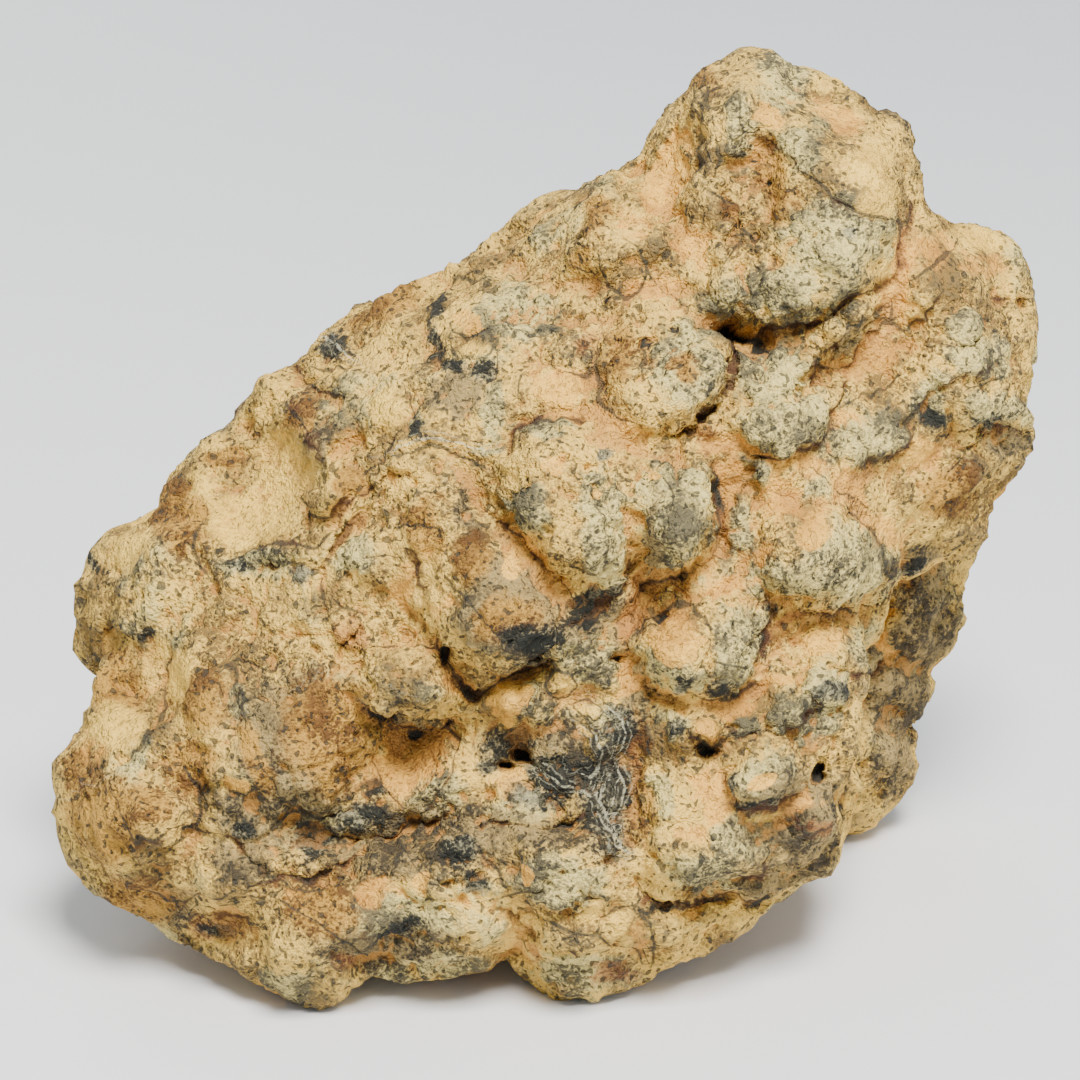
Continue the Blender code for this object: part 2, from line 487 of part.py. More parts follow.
def stand_on_feet(places):
    """Hollow the underside above the ground, and draw each foot down to just below it."""
    depth = UNDERSIDE_TOP - FLOOR_GAP
    sunk = UNDERSIDE_TOP - depth * np.tanh((UNDERSIDE_TOP - places[:, 2]) / depth)
    stood = places.copy()
    stood[:, 2] = np.where(places[:, 2] < UNDERSIDE_TOP, sunk, places[:, 2])
    chance = np.random.default_rng(SEED)
    lift = UNDERSIDE_SWELL * (1.0 + uneven(places, UNDERSIDE_GRAIN, chance))
    for middle, halves, turn, height in UNDERSIDE_HOLLOWS.values():
        lift += height * oval_hollow(places[:, 0], places[:, 1], middle, halves, turn)
    lift *= smoothstep(*UNDERSIDE_EDGE, places[:, 1])
    stood[:, 2] += lift * (1.0 - smoothstep(0.0, UNDERSIDE_REACH, stood[:, 2]))
    for (foot_x, foot_y), radius in FEET.values():
        gap = np.hypot(places[:, 0] - foot_x, places[:, 1] - foot_y)
        under = stood[:, 2] < FOOT_TOP
        lowest = stood[(gap < radius * FOOT_MIDDLE) & under, 2].min()
        share = 1.0 - smoothstep(radius * FOOT_SOLE, radius, gap)
        share *= 1.0 - smoothstep(lowest, FOOT_TOP, stood[:, 2])
        stood[:, 2] -= share * (lowest + FOOT_SINK)
    return stood


def without_recess(mesh):
    """A copy of a mesh with the lower right corner cut away in front of the masses behind it."""
    corners = np.array(RECESS)
    hidden = RECESS_MIDDLE + (corners - RECESS_MIDDLE) * RECESS_UNDERCUT
    cutter = bmesh.new()
    rings = []
    for ring, near in ((hidden, RECESS_NEAR), (corners, RECESS_OPEN)):
        places = seen(ring[:, 0], ring[:, 1], np.full(len(ring), near)) * MM
        rings.append([cutter.verts.new(place) for place in places])
        cutter.faces.new(rings[-1])
    for index, behind in enumerate(rings[0]):
        previous = index - 1
        cutter.faces.new((behind, rings[0][previous], rings[1][previous], rings[1][index]))
    bmesh.ops.recalc_face_normals(cutter, faces=cutter.faces[:])
    shape_mesh = bpy.data.meshes.new("recess cutter")
    cutter.to_mesh(shape_mesh)
    cutter.free()
    cutter_shape = bpy.data.objects.new("recess cutter", shape_mesh)
    stone = bpy.data.objects.new("stone", mesh)
    for shape in (stone, cutter_shape):
        bpy.context.scene.collection.objects.link(shape)
    cut = stone.modifiers.new("recess", "BOOLEAN")
    cut.object = cutter_shape
    result = evaluated(stone)
    bpy.data.objects.remove(cutter_shape)
    return result


def sculpted_skin():
    """The stone's skin with its outline, its front relief, its cobbles and its feet."""
    skin = melted_masses()
    places, _ = read_mesh(skin)
    across, up, near = as_seen(places)
    across, up = draw_to_outline(across, up)
    write_mesh(skin, seen(across, up, near))
    skin = reskin(without_recess(skin), RECESS_VOXEL, RECESS_ROUNDS)
    places, normals = read_mesh(skin)
    across, up, near = as_seen(places)
    facing = smoothstep(FACING_NONE, FACING_ALL, normals @ TOWARDS)
    chance = np.random.default_rng(SEED)
    drift = [WANDER * uneven(places, WANDER_GRAIN, chance) for _ in range(3)]
    cobbles = cobble_relief(places + np.stack(drift, axis=1), facing)
    near = near + facing * front_relief(across + drift[0], up + drift[1])
    outwards = normals * (1.0 - facing)[:, None] + TOWARDS * facing[:, None]
    moved = seen(across, up, near) + outwards * cobbles[:, None]
    across, up, near = as_seen(moved)
    across, up = draw_to_outline(across, up)
    write_mesh(skin, stand_on_feet(seen(across, up, near)))
    return reskin(skin, SKIN_VOXEL, SKIN_ROUNDS)


def flattened_feet(stone):
    """Grind the stone's underside flat where it is below the ground."""
    faces = bmesh.new()
    faces.from_mesh(stone)
    everything = faces.verts[:] + faces.edges[:] + faces.faces[:]
    cut = bmesh.ops.bisect_plane(
        faces,
        geom=everything,
        plane_co=(0.0, 0.0, 0.0),
        plane_no=(0.0, 0.0, 1.0),
        clear_inner=True,
    )
    rim = [piece for piece in cut["geom_cut"] if isinstance(piece, bmesh.types.BMEdge)]
    bmesh.ops.holes_fill(faces, edges=rim)
    bmesh.ops.triangulate(faces, faces=faces.faces[:])
    bmesh.ops.recalc_face_normals(faces, faces=faces.faces[:])
    faces.to_mesh(stone)
    faces.free()


def thinned(mesh):
    """A copy of a mesh with fewer faces, most of them where the skin bends most."""
    shape = bpy.data.objects.new("thinned", mesh)
    bpy.context.scene.collection.objects.link(shape)
    decimate = shape.modifiers.new("fewer faces", "DECIMATE")
    mesh.calc_loop_triangles()
    decimate.ratio = FACE_COUNT / len(mesh.loop_triangles)
    return evaluated(shape)


def stone_material():
    """Dusty cream-yellow breccia, dull all over."""
    material = bpy.data.materials.new("meteorite stone")
    material.use_nodes = True
    shader = material.node_tree.nodes["Principled BSDF"]
    shader.inputs["Base Color"].default_value = STONE_COLOUR
    shader.inputs["Roughness"].default_value = STONE_ROUGHNESS
    shader.inputs["Metallic"].default_value = 0.0
    return material


def build():
    """Make the meteorite, standing on its feet with the middle of its footprint box at 0, 0."""
    for leftover in list(bpy.data.objects):
        bpy.data.objects.remove(leftover)
    stone = thinned(sculpted_skin())
    flattened_feet(stone)
    places, _ = read_mesh(stone)
    middle = (places.min(axis=0) + places.max(axis=0)) / 2.0
    middle[2] = 0.0
    write_mesh(stone, places - middle)
    stone.materials.clear()
    stone.materials.append(stone_material())
    meteorite = bpy.data.objects.new("meteorite", stone)
    bpy.context.scene.collection.objects.link(meteorite)


build()
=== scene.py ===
"""A lunar meteorite on a pale table: one natural stone of breccia, dusty, pitted and cracked."""

import math

import bmesh
import bpy
import numpy as np
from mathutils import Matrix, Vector


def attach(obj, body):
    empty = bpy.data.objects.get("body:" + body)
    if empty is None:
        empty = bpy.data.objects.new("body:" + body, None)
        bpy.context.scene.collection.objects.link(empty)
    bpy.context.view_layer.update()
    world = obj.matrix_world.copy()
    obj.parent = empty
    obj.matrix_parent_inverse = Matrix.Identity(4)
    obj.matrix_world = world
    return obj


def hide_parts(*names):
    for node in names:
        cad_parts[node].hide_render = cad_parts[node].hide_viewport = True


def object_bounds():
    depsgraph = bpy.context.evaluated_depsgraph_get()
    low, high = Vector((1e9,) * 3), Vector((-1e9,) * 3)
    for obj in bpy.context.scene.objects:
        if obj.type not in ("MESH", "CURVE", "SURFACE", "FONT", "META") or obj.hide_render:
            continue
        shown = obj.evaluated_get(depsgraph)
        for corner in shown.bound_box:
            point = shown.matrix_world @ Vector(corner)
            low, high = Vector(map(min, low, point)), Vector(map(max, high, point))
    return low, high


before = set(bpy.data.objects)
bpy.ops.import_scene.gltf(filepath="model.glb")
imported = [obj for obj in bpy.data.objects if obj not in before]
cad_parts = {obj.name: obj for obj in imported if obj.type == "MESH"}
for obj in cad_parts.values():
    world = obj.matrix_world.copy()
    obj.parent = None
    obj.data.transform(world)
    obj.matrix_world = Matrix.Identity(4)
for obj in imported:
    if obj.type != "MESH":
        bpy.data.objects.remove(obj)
solid_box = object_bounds()


# The view of the stone's front. Places on the front are written as they are seen from there, in
# millimetres across (to the right) and up from the view's middle.
MM = 0.001
VIEW_RISE = math.radians(20.3)
VIEW_DISTANCE = 397.8
VIEW_CENTRE = np.array((-1.393, -3.991, 38.4))
RIGHT = np.array((1.0, 0.0, 0.0))
UPWARD = np.array((0.0, math.sin(VIEW_RISE), math.cos(VIEW_RISE)))
TOWARDS = np.array((0.0, -math.cos(VIEW_RISE), math.sin(VIEW_RISE)))
SENSOR_WIDTH = 36.0
VIEW_WIDTH = 108.0


def as_seen(places):
    """How the front view shows world places given in millimetres: across and up."""
    offsets = places - VIEW_CENTRE
    shrink = 1.0 - offsets @ TOWARDS / VIEW_DISTANCE
    return offsets @ RIGHT / shrink, offsets @ UPWARD / shrink


camera = bpy.data.cameras.new("camera")
camera.sensor_width = SENSOR_WIDTH
camera.lens = SENSOR_WIDTH * VIEW_DISTANCE / VIEW_WIDTH
viewer = bpy.data.objects.new("viewer", camera)
viewer.location = (VIEW_CENTRE + TOWARDS * VIEW_DISTANCE) * MM
viewer.rotation_euler = (-Vector(TOWARDS)).to_track_quat("-Z", "Y").to_euler()
bpy.context.scene.collection.objects.link(viewer)
bpy.context.scene.camera = viewer


# The stone's skin. The real stone is one piece of breccia, broken from the Moon's soil and
# weathered in the ground. Its skin is a ball's grid drawn onto the solid, step by step.
GRID_STEPS = 128
FRONT_SHARE = 0.45
SOFTENING_STAGES = (260, 180, 120, 80, 54, 36, 24, 16, 10, 6, 3, 1, 0)
SOFTENING = 0.5
RELAX_ROUNDS = 6
FACET_ROUNDS = 3
MERGE_GAP = 1e-6


def ball_grid(steps):
    """Points on a ball of radius 1 and the four-sided faces between them.

    Each side of a cube is a grid of two parameters running from -1 to 1. A grid point is pushed
    out to the ball along (1, tan(a * pi / 4), tan(b * pi / 4)), which keeps the squares even.
    Points that sides share are merged by their whole-number places on the cube.
    """
    a, b = np.meshgrid(np.arange(steps + 1), np.arange(steps + 1), indexing="ij")
    sides = []
    for axis in range(3):
        for end in (0, steps):
            lattice = np.empty(a.shape + (3,), dtype=np.int64)
            lattice[..., axis] = end
            lattice[..., (axis + 1) % 3] = a if end else b
            lattice[..., (axis + 2) % 3] = b if end else a
            sides.append(lattice)
    lattice = np.stack(sides)
    points, number = np.unique(lattice.reshape(-1, 3), axis=0, return_inverse=True)
    number = number.reshape(lattice.shape[:-1])
    corners = (number[:, :-1, :-1], number[:, 1:, :-1], number[:, 1:, 1:], number[:, :-1, 1:])
    faces = np.stack(corners, axis=-1).reshape(-1, 4)
    spread = np.tan((points / steps * 2.0 - 1.0) * math.pi / 4.0)
    return spread / np.linalg.norm(spread, axis=1, keepdims=True), faces


def edges_of(faces):
    """Each edge of a list of faces once, as two rows of point numbers."""
    turned = np.roll(faces, -1, axis=1)
    pairs = np.stack((faces.ravel(), turned.ravel()), axis=1)
    return np.unique(np.sort(pairs, axis=1), axis=0).T


def neighbour_mean(places, edges):
    """The mean of each point's neighbours along the edges."""
    first, second = edges
    count = np.bincount(first, minlength=len(places)) + np.bincount(second, minlength=len(places))
    total = [
        np.bincount(first, places[second, axis], len(places))
        + np.bincount(second, places[first, axis], len(places))
        for axis in range(3)
    ]
    return np.stack(total, axis=1) / count[:, None]


def softened(places, edges, rounds):
    """A form with its lumps melted away by moving each point towards its neighbours' mean."""
    for _ in range(rounds):
        places = places + SOFTENING * (neighbour_mean(places, edges) - places)
    return places


def mesh_of(name, places, faces):
    """A mesh from places in millimetres and equal-sided faces."""
    mesh = bpy.data.meshes.new(name)
    sides = faces.shape[1]
    mesh.vertices.add(len(places))
    mesh.vertices.foreach_set("co", (places * MM).ravel())
    mesh.loops.add(faces.size)
    mesh.loops.foreach_set("vertex_index", faces.ravel())
    mesh.polygons.add(len(faces))
    mesh.polygons.foreach_set("loop_start", np.arange(len(faces)) * sides)
    mesh.update(calc_edges=True)
    mesh.validate()
    return mesh


def places_of(mesh):
    """A mesh's vertex places in millimetres."""
    places = np.empty(len(mesh.vertices) * 3)
    mesh.vertices.foreach_get("co", places)
    return places.reshape(-1, 3) / MM


def solid_form(node):
    """The solid's points and triangles, with its loose triangles joined."""
    joined = bmesh.new()
    joined.from_mesh(node.data)
    bmesh.ops.remove_doubles(joined, verts=joined.verts, dist=MERGE_GAP)
    mesh = bpy.data.meshes.new("form")
    joined.to_mesh(mesh)
    joined.free()
    faces = np.empty(len(mesh.polygons) * 3, dtype=np.int32)
    mesh.loops.foreach_get("vertex_index", faces)
    return places_of(mesh), faces.reshape(-1, 3)


def pressed_onto(places, form_places, form_faces):
    """Each place moved to the nearest place on a form."""
    form = bpy.data.objects.new("form", mesh_of("form", form_places, form_faces))
    cloth = bpy.data.objects.new("cloth", bpy.data.meshes.new("cloth"))
    cloth.data.from_pydata((places * MM).tolist(), [], [])
    for shape in (form, cloth):
        bpy.context.scene.collection.objects.link(shape)
    press = cloth.modifiers.new("press", "SHRINKWRAP")
    press.target = form
    press.wrap_method = "NEAREST_SURFACEPOINT"
    graph = bpy.context.evaluated_depsgraph_get()
    pressed = places_of(cloth.evaluated_get(graph).data)
    for shape in (form, cloth):
        mesh = shape.data
        bpy.data.objects.remove(shape)
        bpy.data.meshes.remove(mesh)
    return pressed


def normals_of(places, faces):
    """Each point's outward direction: the mean of its faces' normals, weighted by their size."""
    first, second, third, fourth = (places[faces[:, corner]] for corner in range(4))
    across_faces = np.cross(third - first, fourth - second)
    total = [
        sum(np.bincount(faces[:, corner], across_faces[:, axis], len(places)) for corner in range(4))
        for axis in range(3)
    ]
    total = np.stack(total, axis=1)
    return total / np.linalg.norm(total, axis=1, keepdims=True)


directions, skin_faces = ball_grid(GRID_STEPS)
skin_edges = edges_of(skin_faces)
directions = directions + FRONT_SHARE * TOWARDS
directions = directions / np.linalg.norm(directions, axis=1, keepdims=True)
form_places, form_faces = solid_form(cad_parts["meteorite"])
form_edges = edges_of(form_faces)
middle = form_places.mean(axis=0)
skin = middle + np.linalg.norm(form_places - middle, axis=1).max() * directions
for rounds in SOFTENING_STAGES:
    soft_places = softened(form_places, form_edges, rounds)
    skin = pressed_onto(skin, soft_places, form_faces)
    skin = softened(skin, skin_edges, RELAX_ROUNDS)
    skin = pressed_onto(skin, soft_places, form_faces)
skin = softened(skin, skin_edges, FACET_ROUNDS)


# The front's lumps, a few millimetres across, stand out a little more than on the solid. They are
# harder pieces of the breccia, which have weathered more slowly than the ground around them.
SWELLING_ROUNDS = 30
SWELLING = 0.3
SWELLING_FACING = (0.25, 0.8)


def smoothstep(low, high, values):
    """0 below low, 1 above high, and an S-curve between them."""
    share = np.clip((values - low) / (high - low), 0.0, 1.0)
    return share * share * (3.0 - 2.0 * share)


def hollowness(places, rounds):
    """How far each place lies beneath the mean of its surroundings, in millimetres."""
    level = places
    for _ in range(rounds):
        level = neighbour_mean(level, skin_edges)
    return ((level - places) * normals_of(level, skin_faces)).sum(axis=1)


skin_normals = normals_of(skin, skin_faces)
facing = smoothstep(*SWELLING_FACING, skin_normals @ TOWARDS)
skin = skin - (SWELLING * facing * hollowness(skin, SWELLING_ROUNDS))[:, None] * skin_normals


# The front's own relief, sharper than the solid's: lumps and knobs, the lips and crevices between
# them, fine cracks, raised veins and holes. It was shaped by breaking, melting and weathering.
# A lip has a height, a depth beneath, a width, and points with its high side on their left.
LIPS = {
    "boxy_lump_right": (0.9, 1.6, 0.45, (19.5, 20), (19.6, 17.5), (19.2, 15.5), (17.6, 13.8),
        (16.2, 12.2), (15.2, 11), (13.5, 10.8), (11.5, 11.2)),
    "block_diagonal": (1, 0.7, 0.7, (22, 40.5), (25.5, 38), (29, 34.5), (33, 32.5), (36.5, 32)),
    "block_rim": (0.8, 0.9, 0.4, (22, 20.4), (23, 21), (24.5, 21.6), (26, 22.2), (27.5, 21.8),
        (29, 22), (30.5, 23.6), (31, 24.6), (32.5, 24.8), (34.5, 25.2), (35.7, 26.2), (36.3, 28),
        (36.2, 31), (37.2, 34)),
    "ledge_below_block": (0.6, 1, 0.35, (26.2, 16.8), (27.2, 17.9), (28.7, 18.5), (29.6, 20),
        (30.8, 21.4), (32, 21.8), (33.6, 22.4), (34.6, 23.4)),
    "main_crevice": (0.5, 1.3, 0.5, (27, 15.6), (28.2, 16.8), (30, 17.3), (31.6, 18.4),
        (33.2, 20.6), (35, 21.9), (35.4, 23.8)),
    "lump_right_of_block": (0.5, 0.7, 0.35, (34.5, 21.6), (36.5, 21.2), (38.6, 22.3),
        (39.4, 23.8)),
    "lobe_rim": (0.7, 0.8, 0.35, (22, 8.5), (24.5, 8.4), (26.2, 8.7), (27.9, 9.9), (28.9, 11.2),
        (29.6, 13), (30.4, 15.4)),
    "right_step": (0.8, 0.8, 0.4, (32.9, 7.2), (34.2, 7.6), (35.8, 8.3), (36.6, 9.2), (37, 11.5),
        (37.6, 13.2), (38.6, 15.2)),
    "right_clast": (0.5, 0.7, 0.35, (40.6, 19.3), (41.8, 19.2), (43.2, 20.2), (44.3, 21.6)),
    "right_ledge": (0.7, 1, 0.35, (41.2, 15.9), (43, 16.6), (44.8, 17.2)),
    "right_hood": (0.9, 1.6, 0.5, (43, 11.4), (44.6, 10.8), (46.2, 10.7), (48, 11)),
    "far_ledge": (0.5, 0.8, 0.4, (46, 24.3), (47.6, 23.6), (49, 24)),
    "slanted_seam": (0.4, 1.3, 0.5, (-5, 3), (-3.5, 1.5), (-2, 0), (-1.2, -1.2), (-0.4, -2),
        (0.8, -2.8)),
    "knob_rim": (0.8, 2.2, 0.7, (9.4, -5.4), (10.5, -4.4), (12, -3.9), (13.5, -3.5), (15, -3.2),
        (16.5, -2.3), (17.6, -0.8), (18.1, 1.5), (17.9, 4), (17.2, 6.2)),
    "dome_rim": (0.8, 1.6, 0.5, (2.5, -8.4), (3.5, -7.9), (5, -7.4), (6, -6.5), (7.5, -5.3),
        (8.4, -3.6), (8.8, -2)),
    "dome_top": (0.4, 0.9, 0.35, (4.5, 11.8), (3, 12.2), (0.5, 12.1), (-1, 11.8), (-2.2, 11),
        (-2.9, 9.6), (-3.1, 8.2)),
    "slanted_rim": (1, 3.2, 0.75, (-9.4, -11.5), (-8.6, -13.7), (-7.2, -15.2), (-5.5, -14.8),
        (-4, -14), (-2.5, -13.4), (-1, -12.8), (0.8, -12)),
    "small_rim": (0.9, 2.4, 0.7, (-17.6, -16.6), (-16.5, -17.2), (-14.6, -18.2), (-12.6, -18.8),
        (-10.8, -18.4), (-9, -17.8)),
    "small_left": (0.3, 0.8, 0.35, (-10.2, -9), (-10.4, -11), (-9.6, -12.6)),
    "cream_rim": (0.7, 2, 0.5, (26, -6.4), (27.5, -7), (29.5, -7.2), (32, -6.9), (34.6, -6.5)),
    "pale_side": (0.5, 1.1, 0.4, (22, -12), (23, -10), (22.6, -7.5), (22, -5.5)),
    "pale_foot": (0.5, 1, 0.4, (10.4, -14.6), (11.5, -15.4), (13.5, -15.9), (15.4, -15.5),
        (16.6, -15.9), (18.5, -16), (20, -15.4), (21.4, -14.6)),
    "knob_gap": (0.6, 1.4, 0.5, (29.2, -12.4), (31, -13.6), (33, -13.4), (34, -11.5)),
    "dark_lump_foot": (0.5, 1, 0.35, (27.2, -15.6), (28.2, -16.6), (29.6, -16.4), (30.8, -15.2)),
    "stack_rim": (0.6, 1.2, 0.35, (22.6, -19), (24, -19.1), (25.4, -18.4), (26.6, -17.2),
        (27.2, -17)),
    "stack_rim_left": (0.4, 0.8, 0.35, (18.6, -18.6), (19.6, -19.6), (21.2, -19.4)),
    "orange_lump_foot": (0.6, 1.2, 0.4, (14.8, -19.2), (15.6, -20.2), (17, -20.6), (18.4, -19.9)),
    "ring_rim": (0.6, 1, 0.4, (18.4, -23), (18.8, -25), (19.8, -26.4), (21.6, -27), (24, -26.8),
        (25.8, -25.6)),
    "low_right_lump": (0.5, 0.8, 0.4, (25.6, -28), (27, -29.2), (29, -28.6), (30.4, -27.4)),
    "swell_rim": (0.8, 2.4, 0.6, (10.6, -34.8), (11.4, -35.6), (12.8, -36.3), (15, -36.6),
        (16.4, -36.1), (17.8, -35.7), (19.4, -35.6), (21, -36.2), (22.6, -35.6)),
    "small_lump_low_right": (0.4, 0.6, 0.35, (18.6, -33), (20, -33.9), (22, -33.6), (22.6, -31.8)),
    "low_seam": (0.6, 1.6, 0.5, (-20, -29.2), (-17, -30.4), (-15.2, -30), (-14.2, -29),
        (-12, -28.2), (-9.5, -27.4)),
    "low_left_seam": (0.5, 0.9, 0.4, (-28.4, -34.6), (-25.8, -33.6), (-23, -34.2), (-20.8, -33),
        (-18.4, -31.6)),
    "black_slit": (0.5, 1, 0.35, (-6, -28.7), (-4.2, -28.2), (-1.6, -28.6), (0.6, -28.9),
        (2.4, -28.4), (4.2, -27.8)),
    "clast_gap": (0.5, 1, 0.4, (-3, -37), (-1.6, -38.6), (0.2, -40.2), (1.8, -40.9), (4, -41)),
    "nose": (0.9, 1.2, 0.4, (-23.6, 3.6), (-22.6, 2.6), (-21.2, 2.2), (-20, 2.8), (-19.4, 4.2)),
    "hollow_right_wall": (0.7, 0.5, 0.6, (-22, 5), (-22.4, 8), (-23.4, 11), (-25.4, 14)),
    "orange_lump_left": (0.6, 1.2, 0.4, (-24.4, 17.2), (-23.4, 15.8), (-21.8, 15), (-20.4, 14.8)),
    "vein_low": (0.3, 0.9, 0.35, (-27, -2.6), (-24, -2.6), (-22.2, -2.6), (-21, -1.2),
        (-19.6, 1.2), (-17.4, 3.2), (-16.2, 4.8), (-15.5, 6.4), (-13, 6.6)),
    "vein_high": (0.3, 0.7, 0.3, (-14.6, 10), (-15.8, 8.6), (-16.4, 6.6), (-18, 4.8), (-20.4, 2.4),
        (-21.6, 0.2), (-22.6, -1), (-25, -0.6), (-28, -1), (-30.6, -2)),
    "slit_below": (0.3, 0.9, 0.3, (-19.9, -3.6), (-19, -2.8), (-18.2, -2.4)),
    "middle_left_rim": (0.5, 0.8, 0.4, (-16.2, -0.2), (-14, -0.6), (-12.6, -1.6), (-12, -3.4),
        (-11.4, -5)),
    "rust_bay": (0.5, 1.4, 0.8, (-35.4, -38), (-33, -37.2), (-30.6, -37.6), (-28.8, -38.6)),
    "corner_crack": (0.4, 0.7, 0.3, (-39, -35.6), (-37, -36.2), (-34, -35.8), (-31.5, -35.4)),
    "corner_crack_high": (0.4, 0.8, 0.3, (-34.4, -29.4), (-32.6, -29), (-30.8, -29.6),
        (-29.4, -31)),
    "gold_lump_foot": (0.5, 0.5, 0.4, (-40, -29.2), (-38.2, -29.6), (-36.2, -28.8), (-35.6, -27)),
}
